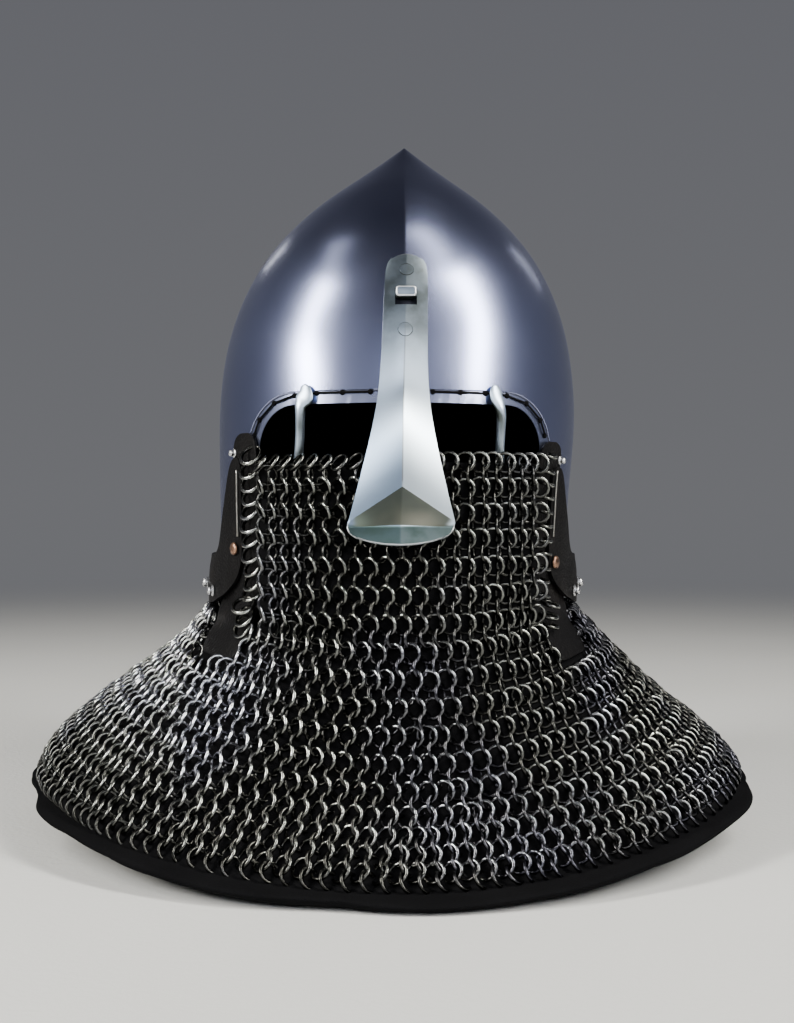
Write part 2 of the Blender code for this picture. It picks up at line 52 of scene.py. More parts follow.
MIDDLE = float(SHIFT[0]) * MM
SIDES = ((-1, "left"), (1, "right"))
rng = np.random.default_rng(11)

# height, half width, front reach, back reach, lean
SKULL_ROWS = np.array([
    (452, 0, -25, 25, 5.5), (445, 8.5, -14, 35.5, 5.2), (431, 26, 7.5, 54, 4.6),
    (411, 52.7, 39.5, 77, 3.8), (386.5, 77.6, 71.5, 98, 2.9), (360, 95.7, 98.5, 112.5, 2),
    (332, 108, 114.5, 122.5, 1.2), (300, 115.6, 125, 129, 0.4), (265, 118.3, 130, 130.5, 0),
    (250, 117.9, 130.8, 130, -0.3), (225, 116.2, 130.6, 127.5, -1.6), (200, 115, 130, 124, -2.2),
    (170, 113.5, 128, 117, -2.7), (143, 112.5, 126, 108, -3),
])
SKULL_TOP = 452.0
# the low ridge over the crown: its half width, and its height in front and behind
RIDGE_WIDTH, RIDGE_FRONT, RIDGE_BACK = 35, 3.5, 2.0
# the face opening, in metres: half width, top, and half width and height of its rounded corners
FACE_HALF, FACE_TOP, CORNER_WIDE, CORNER_TALL = 0.0845, 0.266, 0.0215, 0.026

# front height, front reach, side height, left reach, right reach, back height, back reach
MANTLE_ROWS = np.array([
    (240, 134, 240, 125.5, 123, 240, 124), (218, 136, 218, 125.5, 123, 218, 124),
    (196, 138.5, 196, 125.5, 122.5, 196, 124), (174, 141.5, 174, 125, 122, 174, 122),
    (152, 144.5, 155, 124, 119.5, 155, 117), (131, 147.5, 140, 122, 114, 140, 114),
    (116, 150.5, 128, 130, 122.5, 126, 120), (100, 154, 116, 141.5, 134, 111, 129),
    (84, 157.5, 104, 157, 146.5, 95, 141), (67, 162, 90, 177, 161.5, 79, 153),
    (50, 168, 76, 196, 178, 62, 166), (34.5, 177, 63, 212, 195, 45, 178),
    (20.5, 189.5, 50, 224, 209.5, 27, 190), (7, 205, 34.5, 232, 223, 9.5, 202),
])
FIRST_FULL = 5.0  # the table row where the mail closes round the neck
LAST_ROW = 13.0
PANEL_ANGLE = 43.5  # how far the face mail reaches round each side
# the edges of the padded hem, as rows of the same kind
HEM_TOP = (5.4, 217.5, 35, 238.5, 229.5, 5.6, 213)
HEM_UNDER = (0, 212, 27, 233.5, 224.5, 0, 207.5)

# keel height, edge height, half width, keel reach, edge reach (0 where the plate lies on the skull)
NASAL_ROWS = [
    (355, 350.5, 10.6, 0, 0), (350.5, 345.5, 12.4, 0, 0), (340, 338, 12.8, 0, 0),
    (325, 324, 13, 0, 0), (308, 307, 13.2, 0, 0), (292, 290, 13.4, 0, 0),
    (277, 274, 14.4, 0, 0), (265, 260, 16.1, 139.5, 135.2), (253, 244.5, 19, 145, 138.4),
    (241, 228.5, 22.7, 152.5, 143), (229.5, 212.5, 26.5, 161, 148.7),
    (217.6, 197.8, 30.1, 172, 156), (207, 196.6, 30, 165, 156.4),
    (196.5, 195.2, 29.8, 158, 156.8), (190.5, 193.4, 29.2, 160.4, 157.8),
    (185.5, 190.6, 26.4, 162.4, 159.2),
]
LIP_ROW, UNDER_ROW = 11, 13  # the rows where the flared foot of the nasal turns under
NASAL_FOOT_X, NASAL_FOOT_Z, NASAL_LEAN = -1.3, 197, 4.7 / 158.0
STAPLE_Z = 330.0
NASAL_RIVETS = (("nasal_rivet_upper", 343.3), ("nasal_rivet_lower", 307.3))
# x, y (0 where the bar lies on the skull), z, half width, half thickness
BAR_PATH = [
    (56, 0, 276.6, 2.6, 0.9), (55.6, 0, 273.6, 4.6, 1.3), (56, 0, 269.4, 5.2, 1.6),
    (58.2, 0, 264.3, 3.5, 2.3), (58.7, -115.2, 258, 2.8, 2.65), (58.7, -113.2, 250, 2.7, 2.65),
    (58.9, -111, 239, 2.65, 2.65), (60, -107.2, 227, 2.65, 2.65),
    (65, -102.8, 215, 2.65, 2.65), (72, -97, 206, 2.65, 2.65),
    (77, -92.4, 200.5, 2.65, 2.65),
]
# the lobes at the top of each bar: x and half width of its first four rows
LOBES = {
    "left": [(57.3, 2.2), (56.3, 4.5), (56.4, 6), (58.6, 3.6)],
    "right": [(54.8, 2.2), (55, 4), (55.6, 4.4), (57.6, 3.5)],
}
# angle round the skull, lower edge, upper edge of the raised leather
BAND_EDGE = np.array([
    (51.6, 181, 229), (52.4, 172, 233.5), (53.6, 166, 235.5), (55.5, 160.5, 235.5),
    (57.5, 157, 231.5), (59, 155, 224), (60.5, 153.3, 214), (62.5, 151.5, 204),
    (64.5, 150, 194), (66.5, 148.7, 184), (69.5, 147, 178), (73, 145, 175.5),
    (78, 144, 175), (180, 144, 175),
])
LEATHER = 3.0
FLAP_LIFT = 2.45
# front angle, back angle, height on the skull, or 0 and a row on the mantle
FLAP_ROWS = np.array([
    (49.6, 53.6, 250.5, 0), (47.8, 55.6, 248.8, 0), (46.5, 57.2, 245.5, 0), (45.8, 58, 239, 0),
    (45.3, 57.6, 228, 0), (45, 57.6, 205, 0), (45, 60, 182, 0), (45, 66, 166, 0),
    (45.6, 68.5, 150, 0), (46.2, 67, 0, 4.95), (46.5, 66.5, 0, 5.5), (46.8, 65, 0, 6.1),
    (47.5, 62, 0, 6.65),
])
FLAP_TURN = 9  # the first of these rows that lies on the mantle
RIGHT_TAB_DROP = -5.0  # the raised leather is lower on the right
COPPER_ANGLE, COPPER_Z = 55, {"left": 180.3, "right": 172.0}
ROD_ANGLE = 52.9
# name, angle, height, radius
STUDS = [
    ("vervelle_upper", 56.8, 238.6, 2.4), ("vervelle_side", 84, 156, 3.4),
    ("vervelle_front", 71, 152.5, 3.2), ("vervelle_b1", 106, 156, 3.4),
    ("vervelle_b2", 130, 156, 3.4), ("vervelle_b3", 155, 156, 3.4),
]
# share of the radius and height, from the flange over the neck to the round head
STUD_PROFILE = [
    (0, 0.1), (1.12, 0.1), (1.15, 0.6), (1.02, 0.95), (0.7, 1.15), (0.72, 1.6), (0.86, 2.2), (0.8, 3.0),
    (0.62, 3.6), (0.34, 3.95), (0, 4.05),
]
# x and height of the holes that hold the lining, each side of the middle
LINING_HOLES = [
    (17.9, 272.2), (34.1, 272.2), (49.2, 272.2), (62.6, 271.4), (75.2, 267.4), (84.6, 258), (88, 249),
]

RING_R, WIRE_R = 5.75, 1.1
RING_PITCH = 8.93
PANEL_ROWS, FULL_ROWS = 14, 20  # rows of rings in the face mail, and below the neck

# what the room looks like from the floor (0) over eye height (0.5) to overhead (1), and its share from
# in front of the helmet (0) to behind it (1)
ROOM_UP = [
    (0.50, (0.30, 0.305, 0.32)), (0.70, (0.25, 0.255, 0.28)), (0.88, (0.055, 0.055, 0.067)),
    (1, (0.04, 0.04, 0.05)),
]
ROOM_BACK = [(0.10, (1.05, 1.05, 1.05)), (0.45, (0.62, 0.62, 0.64)), (0.95, (0.52, 0.52, 0.53))]
WARM = (1, 0.975, 0.90)
LIT_POINT = (0, -0.1, 0.32)
# name, low end, high end, width, power, colour
STRIPS = [
    ("right_low", (1.17, -0.96, 0.60), (1.11, -0.59, 1.17), 0.24, 21, WARM),
    ("right_high", (1.11, -0.59, 1.18), (0.76, -0.36, 1.55), 0.24, 16.5, WARM),
    ("right_top", (0.66, -0.36, 1.58), (0.31, 0.26, 1.66), 0.11, 1.6, WARM),
    ("left_low", (-1.28, -0.82, 0.60), (-1.31, -0.50, 1.02), 0.27, 25, WARM),
    ("left_high", (-1.30, -0.49, 1.03), (-0.91, -0.27, 1.47), 0.24, 12.5, WARM),
    ("left_top", (-0.87, -0.22, 1.50), (-0.55, 0.32, 1.58), 0.2, 0.6, WARM),
    ("front_box", (0.02, -1.95, 0.66), (0.02, -1.75, 1.10), 1, 13.5, (0.96, 0.98, 1)),
    ("back_right", (1.12, 1.25, 1.05), (1, 1.15, 1.40), 0.03, 0.28, WARM),
    ("back_left", (-0.72, 1.35, 0.98), (-0.68, 1.3, 1.18), 0.03, 0.26, WARM),
]


# ---------------------------------------------------------------- camera, floor and light

def set_camera():
    """Level with the nasal, a little to one side and looking very slightly down."""
    turn, dip, away, height = math.radians(-1.2), 0.727, 0.874, 0.213
    x, y = SHIFT[:2] * MM
    at = (x + away * math.sin(turn), y - away * math.cos(turn), height)
    view = start("camera", bpy.ops.object.camera_add, location=at, rotation=(math.radians(90 - dip), 0, turn))
    set_all(view.data, sensor_width=36, lens=45.75)
    bpy.context.scene.camera = view


def set_strip(name, low, high, width, power, color):
    """A long soft box whose long side runs from one point to another, facing the helmet."""
    low, high = Vector(low), Vector(high)
    middle, along = (low + high) / 2, (high - low).normalized()
    back = middle - Vector(LIT_POINT)
    back = (back - along * back.dot(along)).normalized()
    turn = Matrix((along.cross(back), along, back)).transposed()
    lamp = start(name, bpy.ops.object.light_add, type="AREA", location=middle, rotation=turn.to_euler())
    set_all(lamp.data, shape="RECTANGLE", size=width, size_y=(high - low).length, energy=power, color=color)


def set_room():
    """A soft room, lighter in front than behind and dark overhead, with a sloping strip on each side."""
    world = bpy.data.worlds.new("room")
    world.use_nodes = True
    room = Nodes(world.node_tree)
    _, back, up = room.parts(room.node("TexCoord", {}, {}, "Generated"))
    height = room.node("ValToRGB", {"stops": ROOM_UP}, {0: up * 0.5 + 0.5})
    depth = room.node("ValToRGB", {"stops": ROOM_BACK}, {0: back * 0.5 + 0.5})
    both = room.blend(1.0, height, depth, "MULTIPLY")
    room.tree.links.new(both.socket, room.tree.nodes["Background"].inputs["Color"])
    bpy.context.scene.world = world
    for strip in STRIPS:
        set_strip(*strip)
    floor = start("floor", bpy.ops.mesh.primitive_plane_add, size=14)
    floor.data.materials.append(pale_floor())


# ---------------------------------------------------------------- shader tools

class Level:
    """A socket that takes part in Python maths."""

    def __init__(self, nodes, socket):
        self.nodes = nodes
        self.socket = socket

    def math(self, operation, *others):
        return self.nodes.node("Math", {"operation": operation}, dict(enumerate((self,) + others)))

    __add__ = __radd__ = partialmethod(math, "ADD")
    __sub__ = partialmethod(math, "SUBTRACT")
    __mul__ = __rmul__ = partialmethod(math, "MULTIPLY")
    __truediv__ = partialmethod(math, "DIVIDE")
    __pow__ = partialmethod(math, "POWER")
    __abs__ = partialmethod(math, "ABSOLUTE")
    at_least = partialmethod(math, "MAXIMUM")
    at_most = partialmethod(math, "MINIMUM")

    def __rsub__(self, other):
        return self * -1 + other

    def step(self, low, high, kind="SMOOTHSTEP"):
        """0 below low, 1 above high, smooth between."""
        return self.nodes.node("MapRange", {"interpolation_type": kind}, {0: self, 1: low, 2: high})

    def ramp(self, low, high):
        """0 below low, 1 above high, straight between."""
        return self.step(low, high, "LINEAR")


class Nodes:
    """A tree of nodes, with one method that adds any node."""

    def __init__(self, tree):
        self.tree = tree

    def node(self, kind, settings, inputs, out=0):
        made = self.tree.nodes.new("ShaderNode" + kind)
        stops = settings.pop("stops", ())
        set_all(made, **settings)
        for i, (at, color) in enumerate(stops):
            ramp = made.color_ramp.elements
            stop = ramp[i] if i < len(ramp) else ramp.new(1)
            set_all(stop, position=at, color=(*color, 1))
        for key, value in inputs.items():
            if isinstance(value, Level):
                self.tree.links.new(value.socket, made.inputs[key])
            else:
                made.inputs[key].default_value = value
        return Level(self, made.outputs[out])

    def parts(self, vector):
        """The x, y and z of a vector."""
        split = self.node("SeparateXYZ", {}, {0: vector})
        return [Level(self, out) for out in split.socket.node.outputs]

    def blend(self, share, low, high, kind="MIX"):
        """Mixes two colours; 6, 7 and 2 are the colour sockets of the Mix node."""
        low, high = (c if isinstance(c, Level) else (*c, 1.0) for c in (low, high))
        settings = {"data_type": "RGBA", "blend_type": kind}
        return self.node("Mix", settings, {0: share, 6: low, 7: high}, 2)


class Finish(Nodes):
    """One material."""

    def __init__(self, name, **fixed):
        self.mat = bpy.data.materials.new(name)
        self.mat.use_nodes = True
        super().__init__(self.mat.node_tree)
        self.shader = self.tree.nodes["Principled BSDF"]
        self.place = self.node("TexCoord", {}, {}, "Object")
        for key, value in fixed.items():
            self.shader.inputs[key.replace("_", " ")].default_value = value

    def axes(self):
        return self.parts(self.place)

    def noise(self, scale, detail=2.0, stretch=None, rough=0.5):
        at = self.place
        if stretch:
            at = self.node("Mapping", {}, {"Vector": at, "Scale": stretch})
        return self.node("TexNoise", {}, {"Vector": at, "Scale": scale, "Detail": detail, "Roughness": rough})

    def cells(self, scale):
        return self.node("TexVoronoi", {}, {"Vector": self.place, "Scale": scale})

    def layers(self, color, *coats):
        """Colours laid one over another, each through its own mask."""
        for share, paint in coats:
            color = self.blend(share, color, paint)
        return color

    def bump(self, height, depth, under=None):
        inputs = {"Height": height, "Strength": 1.0, "Distance": depth}
        if under:
            inputs["Normal"] = under
        return self.node("Bump", {}, inputs)

    def feed(self, **links):
        for key, value in links.items():
            self.tree.links.new(value.socket, self.shader.inputs[key.replace("_", " ")])
        return self.mat


def pale_floor():
    """Pale near the helmet; far off it melts into the colour of the room."""
    f = Finish("pale_floor", Roughness=0.8, Specular_IOR_Level=0.0, Emission_Strength=1.0)
    x, y, z = f.axes()
    far = ((x * x + y * y) ** 0.5).step(0.75, 2.6)
    tone = f.noise(3.0, 3)
    near = f.blend(tone, (0.60, 0.60, 0.59), (0.66, 0.66, 0.65))
    behind = y * (x * x + y * y).at_least(1e-6) ** -0.5 * 0.5 + 0.5
    glow = f.layers(
        (0.315, 0.320, 0.336), (behind.ramp(0.10, 0.45), (0.186, 0.189, 0.205)),
        (behind.ramp(0.45, 0.95), (0.156, 0.159, 0.170)))
    return f.feed(
        Base_Color=f.blend(far, near, (0.0, 0.0, 0.0)),
        Emission_Color=f.blend(far, (0.0, 0.0, 0.0), glow),
        Normal=f.bump(f.noise(260.0, 2), 0.0003),
    )


def polished_steel():
    f = Finish("polished_steel", Metallic=1.0)
    x, y, z = f.axes()
    # distance outside the edge of the face opening, in metres; its corners are taller than wide
    across = (abs(x - MIDDLE) - (FACE_HALF - CORNER_WIDE)).at_least(0)
    up = (z - (FACE_TOP - CORNER_TALL)).at_least(0) * (CORNER_WIDE / CORNER_TALL)
    reach = (across * across + up * up).at_least(1e-9)
    edge = (reach**0.5 - CORNER_WIDE) * (1 + up * up / reach * 0.21)
    front = 1 - (y + 0.03).step(0.0, 0.005)
    # a lighter, bluer band along the edge of the face opening: a painted highlight
    rim_highlight = edge.step(0.0074, 0.0060) * front
    score = abs(edge - 0.0070).step(0.0009, 0.0002) * front
    # painted shade, near black, on the skull behind the slot of the nasal
    slot_shade = abs(x - 0.0078).step(0.0085, 0.0070) * abs(z - 0.3280).step(0.0072, 0.0060) * front
    cloud = f.noise(9.0, 4, rough=0.55)
    scratch = f.noise(240.0, 2, (0.35, 0.35, 1)).step(0.66, 0.70)
    low = f.blend(cloud, (0.242, 0.272, 0.450), (0.338, 0.374, 0.595))
    color = f.layers(
        low, (scratch * 0.06, (0.75, 0.75, 0.80)), (rim_highlight * 0.20, (0.55, 0.62, 0.80)),
        (score * 0.55, (0.10, 0.10, 0.11)), (slot_shade * 0.93, (0.012, 0.012, 0.012)))
    rough = 0.212 + cloud * 0.07 + rim_highlight * 0.03 + slot_shade * 0.4
    return f.feed(Base_Color=color, Roughness=rough, Normal=f.bump(score, -0.0004))


# the inside of the skull is near black: painted shade for the unlit inside
def shaded_inside():
    f = Finish("shaded_inside", Metallic=0.1, Specular_IOR_Level=0.2)
    spots = f.noise(60.0, 4)
    return f.feed(
        Base_Color=f.blend(spots, (0.007, 0.007, 0.008), (0.016, 0.016, 0.015)),
        Roughness=0.62 + spots * 0.25,
        Normal=f.bump(f.noise(500.0, 3), 0.0004),
    )


def satin_steel(name="satin_steel", tone=1.0, plate=False):
    """Brushed steel. Faces that look down are painted dark, a painted reflection, with two painted highlights
    low down; the nasal plate also has a painted dark reflection at its top and on its lip, painted shade and a
    painted highlight on the slopes of its keel, and a painted shadow line along the keel.
    """
    f = Finish(name, Metallic=1.0)
    x, y, z = f.axes()
    cloud = f.noise(28.0, 3)
    brush = f.noise(900.0, 3, (0.05, 0.05, 1), 0.6)
    low = tuple(tone * c for c in (0.50, 0.62, 0.80))
    high = tuple(tone * c for c in (0.72, 0.85, 1.0))
    color = f.blend(cloud * 0.7 + brush * 0.3, low, high)
    if plate:
        patch = f.noise(75.0, 3).step(0.35, 0.7)
        # a painted dark reflection over the top of the plate, mottled
        painted_dark_top = z.step(0.262, 0.322)
        # painted shade on the left slope of the keel, darkest low down, a painted highlight on its right slope
        # below the top, and a painted shadow line along the keel itself
        from_keel = x - (z - NASAL_FOOT_Z * MM) * NASAL_LEAN - (MIDDLE + NASAL_FOOT_X * MM)
        left = 1 - from_keel.step(-0.0008, 0.0008)
        # the flared lip is painted darker and greener: a painted dark reflection
        lip = 1 - z.step(0.1955, 0.1972)
        line = abs(from_keel).step(0.0006, 0.0002) * z.step(0.2195, 0.2215) * (1 - z.step(0.300, 0.315))
        color = f.layers(
            color, (painted_dark_top * (0.72 + patch * 0.26), (0.130, 0.152, 0.158)),
            ((1 - left) * (1 - painted_dark_top) * 0.55, (0.82, 0.93, 1.0)),
            (left * (0.14 + (1 - z.step(0.235, 0.285)) * 0.62), (0.10, 0.16, 0.27)),
            (lip * (0.86 + patch * 0.12), (0.070, 0.110, 0.098)), (line * 0.6, (0.16, 0.16, 0.17)))
    # faces that look down are painted dark olive, a painted reflection of the dark below them, with two painted
    # highlights near the foot of the nasal
    facing = f.node("NewGeometry", {}, {}, "Normal")
    down = f.parts(facing)[2] * -1
    near_lip = 1 - z.step(0.1975, 0.2075)
    under = f.layers(
        (0.055, 0.062, 0.048), (cloud.step(0.4, 0.7), (0.105, 0.110, 0.084)),
        (abs(x - 0.013).step(0.017, 0.001) * near_lip * 0.70, (0.30, 0.29, 0.23)),
        (abs(x + 0.024).step(0.015, 0.001) * near_lip * 0.55, (0.24, 0.30, 0.25)))
    color = f.blend(down.step(0.06, 0.30) * 0.94, color, under)
    return f.feed(Base_Color=color, Roughness=(0.31 if plate else 0.33) + cloud * 0.08 + brush * 0.05)


def worn_metal(name, scale, low, high, rough, spread, patch=None, depth=None):
    """A plain metal in a darker and a brighter tone, evenly mixed or in patches, some of it lightly pitted."""
    f = Finish(name, Metallic=1.0)
    worn = f.noise(scale, 3)
    links = {"Roughness": rough + worn * spread}
    if depth:
        links["Normal"] = f.bump(worn, depth)
    return f.feed(Base_Color=f.blend(worn.step(*patch) if patch else worn, low, high), **links)


def black_leather():
    f = Finish("black_leather", Specular_IOR_Level=0.11)
    grain = f.cells(620.0)
    crease = f.noise(90.0, 4)
    # lighter worn patches on the leather
    brightening = f.noise(38.0, 4).step(0.52, 0.78)
    color = f.blend(brightening * 0.7, (0.0030, 0.0027, 0.0030), (0.010, 0.0085, 0.0080))
    bumped = f.bump(grain, 0.00035)
    bumped = f.bump(crease, 0.0007, bumped)
    return f.feed(Base_Color=color, Roughness=0.40 + crease * 0.25, Normal=bumped)


def dark_mail():
    """Blackened wire, painted bright where the rings stand proud: partly worn bright by rubbing, partly painted
    highlight, with painted glints near white.
    """
    f = Finish("dark_mail", Metallic=1.0)
    rub_and_highlight = f.node("Attribute", {"attribute_name": "rub_and_highlight"}, {}, "Fac")
    soot = f.noise(900.0, 3)
    tint = f.noise(14.0, 2).step(0.45, 0.7)
    dark = f.blend(tint, (0.040, 0.040, 0.037), (0.046, 0.046, 0.058))
    bright = f.blend(tint, (0.62, 0.64, 0.60), (0.65, 0.67, 0.76))
    share = (rub_and_highlight * (0.72 + soot.step(0.40, 0.68) * 0.4)).at_most(1.0)
    color = f.blend(share, dark, bright)
    return f.feed(
        Base_Color=f.blend(rub_and_highlight.step(0.75, 1.5), color, (0.93, 0.93, 1.0)),
        Roughness=0.12 + soot * 0.18,
        Normal=f.bump(soot, 0.00008),
    )


def black_cloth():
    f = Finish("black_cloth", Specular_IOR_Level=0.02)
    weave = f.noise(1400.0, 2) * 0.5 + f.noise(700.0, 2, (1, 1, 3.0)) * 0.5
    fade = f.noise(24.0, 4)
    return f.feed(
        Base_Color=f.blend(fade, (0.0030, 0.0030, 0.0034), (0.0070, 0.0070, 0.0078)),
        Roughness=0.86 + fade * 0.1,
        Normal=f.bump(weave, 0.0005),
    )


# ---------------------------------------------------------------- measures

def fit(xs, ys, x):
    """Monotone cubic through a table, so that a profile has no waves between its rows."""
    xs, ys = np.asarray(xs, float), np.asarray(ys, float)
    if xs[0] > xs[-1]:
        xs, ys = xs[::-1], ys[::-1]
    h = np.diff(xs)
    d = np.diff(ys) / h
    m = np.concatenate([[d[0]], np.zeros(len(d) - 1), [d[-1]]])
    same = d[:-1] * d[1:] > 0
    w1, w2 = 2 * h[1:] + h[:-1], h[1:] + 2 * h[:-1]
    m[1:-1][same] = (w1 + w2)[same] / (w1[same] / d[:-1][same] + w2[same] / d[1:][same])
    x = np.clip(x, xs[0], xs[-1])
    i = np.clip(np.searchsorted(xs, x, side="right") - 1, 0, len(h) - 1)
    t = (x - xs[i]) / h[i]
    rise = ys[i] * (1 + 2 * t) * (1 - t) ** 2 + m[i] * h[i] * t * (1 - t) ** 2
    return rise + ys[i + 1] * t * t * (3 - 2 * t) - m[i + 1] * h[i] * t * t * (1 - t)


def skull_row(z):
    """Half width, middle, half depth and lean of the skull at a height."""
    a, f, b, lean = (fit(SKULL_ROWS[:, 0], SKULL_ROWS[:, c], z) for c in (1, 2, 3, 4))
    return a, (b - f) / 2, (b + f) / 2, lean


def ridge(x, z, height):
    return height * share_of(z, SKULL_TOP, SKULL_TOP - 30.0) * np.maximum(0.0, 1 - abs(x) / RIDGE_WIDTH) ** 2


def skull_face(angle, z):
    """The skull's outside at an angle from the front, counted to its right, and a height."""
    a, mid, d, lean = skull_row(z)
    t = np.radians(angle)
    x = a * np.sin(t)
    y = mid - d * np.cos(t) - np.where(np.cos(t) > 0, ridge(x, z, RIDGE_FRONT), -ridge(x, z, RIDGE_BACK))
    return np.stack(np.broadcast_arrays(x + lean, y, z), -1).astype(float)


def unit(v):
    return v / np.linalg.norm(v, axis=-1, keepdims=True)


def share_of(v, low, high):
    """0 at low, 1 at high, straight between and level beyond."""
    return np.clip((v - low) / (high - low), 0, 1)


def hill(v, top, width):
    return np.exp(-(((v - top) / width) ** 2))


def skull_normal(angle, z):
    du = skull_face(angle + 1.0, z) - skull_face(angle - 1.0, z)
    dz = skull_face(angle, np.minimum(z + 1.5, SKULL_TOP - 1.0)) - skull_face(angle, z - 1.5)
    return unit(np.cross(du, dz))


def on_skull(angle, z, out=0.0):
    """A place this far out from the skull."""
    angle, z, out = np.broadcast_arrays(*(np.asarray(v, float) for v in (angle, z, out)))
    return skull_face(angle, z) + out[..., None] * skull_normal(angle, z)


def skull_front(x, z):
    """y of the skull's front at an x and a height, and the y part of its normal."""
    def face(px, pz):
        a, mid, d, lean = skull_row(pz)
        u = px - lean
        return mid - d * np.sqrt(np.maximum(0.0, 1 - (u / a) ** 2)) - ridge(u, pz, RIDGE_FRONT)

    sx = (face(x + 1, z) - face(x - 1, z)) / 2
    sz = (face(x, z + 1) - face(x, z - 1)) / 2
    return face(x, z), 1 / np.sqrt(1 + sx * sx + sz * sz)


def way_out(places):
    """The level way out of the skull's oval plan."""
    return np.asarray(places) * (1 / 118.0**2, 1 / 130.0**2, 0)


def place(angle, values):
    """A point of a mantle row: straight ahead, at each side and behind its values hold, smooth between."""
    t = np.radians(angle)
    zf, f, zs, left, right, zb, b = values
    front = np.cos(t) > 0
    z_mid, reach = np.where(front, zf, zb), np.where(front, f, b)
    side = np.where(np.sin(t) < 0, left, right)
    z = z_mid + (zs - z_mid) * np.sin(t) ** 2
    return np.stack(np.broadcast_arrays(side * np.sin(t), -reach * np.cos(t), z), -1)


def mantle_face(angle, row):
    n = np.arange(len(MANTLE_ROWS), dtype=float)
    return place(angle, [fit(n, MANTLE_ROWS[:, c], row) for c in range(7)])


def mantle_normal(angle, row):
    du = mantle_face(angle + 1.0, row) - mantle_face(angle - 1.0, row)
    up = mantle_face(angle, np.maximum(row - 0.2, 0.0))
    dr = up - mantle_face(angle, np.minimum(row + 0.2, LAST_ROW))
    return unit(np.cross(du, dr))


def on_mantle(angle, row, out):
    """A place this far out from the mantle."""
    angle, row, out = np.broadcast_arrays(*(np.asarray(v, float) for v in (angle, row, out)))
    return mantle_face(angle, row) + out[..., None] * mantle_normal(angle, row)


# ---------------------------------------------------------------- workbench

def set_all(thing, **settings):
    for key, value in settings.items():
        setattr(thing, key, value)


def choose(*pieces):
    """Selects these pieces alone; the first is the active one."""
    bpy.ops.object.select_all(action="DESELECT")
    for piece in pieces:
        piece.select_set(True)
    bpy.context.view_layer.objects.active = pieces[0]


def start(name, add, **settings):
    """A new thing from one of the operators that add them, selected alone."""
    bpy.ops.object.select_all(action="DESELECT")
    add(**settings)
    bpy.context.object.name = name
    return bpy.context.object


@contextmanager
def editing(obj):
    """Edit mode on one piece."""
    choose(obj)
    bpy.ops.object.mode_set(mode="EDIT")
    yield
    bpy.ops.object.mode_set(mode="OBJECT")


def pick(test, kind="VERT"):
    """In edit mode: selects only what the test says yes to."""
    bpy.ops.mesh.select_mode(type=kind)
    bpy.ops.mesh.select_all(action="DESELECT")
    shape = bmesh.from_edit_mesh(bpy.context.object.data)
    for item in shape.verts if kind == "VERT" else shape.edges:
        item.select = bool(test(item))
    shape.select_flush_mode()
    bmesh.update_edit_mesh(bpy.context.object.data)


def pick_all():
    bpy.ops.mesh.select_all(action="SELECT")


def apply(obj, kind, **settings):
    choose(obj)
    step = obj.modifiers.new(kind.lower(), kind)
    set_all(step, **settings)
    bpy.ops.object.modifier_apply(modifier=step.name)


def smooth(obj, levels):
    apply(obj, "SUBSURF", levels=levels, render_levels=levels)


def wall(obj, thickness, even=True, **more):
    """Gives a sheet its thickness, inwards."""
    apply(obj, "SOLIDIFY", thickness=thickness * MM, offset=-1.0, use_even_offset=even, **more)


def soften(obj, width, segments):
    """Rounds the cut edges of a sheet."""
    limit = math.radians(50)
    apply(obj, "BEVEL", width=width * MM, segments=segments, limit_method="ANGLE", angle_limit=limit)


def cut(obj, cutter):
    apply(obj, "BOOLEAN", operation="DIFFERENCE", solver="EXACT", object=cutter)
    bpy.data.objects.remove(cutter)


def join(pieces):
    """Makes one piece of several, in the first of them."""
    choose(*pieces)
    bpy.ops.object.join()
    return pieces[0]


def settle_in_place(obj):
    choose(obj)
    bpy.ops.object.transform_apply(location=True, rotation=True, scale=True)


def block(name, centre, size):
    """A block in metres, to be shaped or to cut with."""
    obj = start(name, bpy.ops.mesh.primitive_cube_add, size=1, location=centre)
    obj.scale = size
    settle_in_place(obj)
    return obj


def points_of(obj):
    points = np.empty(len(obj.data.vertices) * 3)
    obj.data.vertices.foreach_get("co", points)
    return points.reshape(-1, 3)


def move_points(obj, points):
    obj.data.vertices.foreach_set("co", points.ravel())
    obj.data.update()


def loft(name, points, closed=False):
    """A grid laid through rows of points, the first row lowest, so that it faces outwards."""
    points = np.asarray(points, float)
    if closed:
        points = np.concatenate([points, points[:, :1]], axis=1)
    rows, cols = points.shape[:2]
    grid = bpy.ops.mesh.primitive_grid_add
    obj = start(name, grid, x_subdivisions=cols - 1, y_subdivisions=rows - 1, size=0.1)
    move_points(obj, (points + SHIFT) * MM)
    with editing(obj):
        pick_all()
        bpy.ops.mesh.remove_doubles(threshold=1e-6)
    return obj


def recalculate(obj):
    with editing(obj):
        pick_all()
        bpy.ops.mesh.normals_make_consistent(inside=False)


def tube(name, path, around):
    """A bar through rows of x, y, z, half width, half thickness, with closed ends."""
    path = np.asarray(path, float)
    steps = np.linspace(0, len(path) - 1, (len(path) - 1) * 3 + 1)
    path = np.stack([fit(np.arange(len(path)), path[:, c], steps) for c in range(5)], -1)
    ahead = unit(np.gradient(path[:, :3], axis=0))
    wide = unit(np.cross(ahead, way_out(path[:, :3])))
    deep = np.cross(wide, ahead)
    a = np.linspace(0, 2 * np.pi, around, endpoint=False)[:, None]
    # the place on the path, the share of its width, and how far a ring of the rounded ends is pushed out
    first, last = [(0, 0.02, -0.5), (0, 0.7, -0.35)], [(-1, 0.7, 0.35), (-1, 0.02, 0.5)]
    rows = []
    for i, share, push in first + [(i, 1, 0) for i in range(len(path))] + last:
        w, d = path[i, 3:] * share
        middle = path[i, :3] + ahead[i] * push * min(path[i, 3:])
        rows.append(middle + wide[i] * w * np.cos(a) + deep[i] * d * np.sin(a))
    obj = loft(name, rows, closed=True)
    recalculate(obj)
    return obj


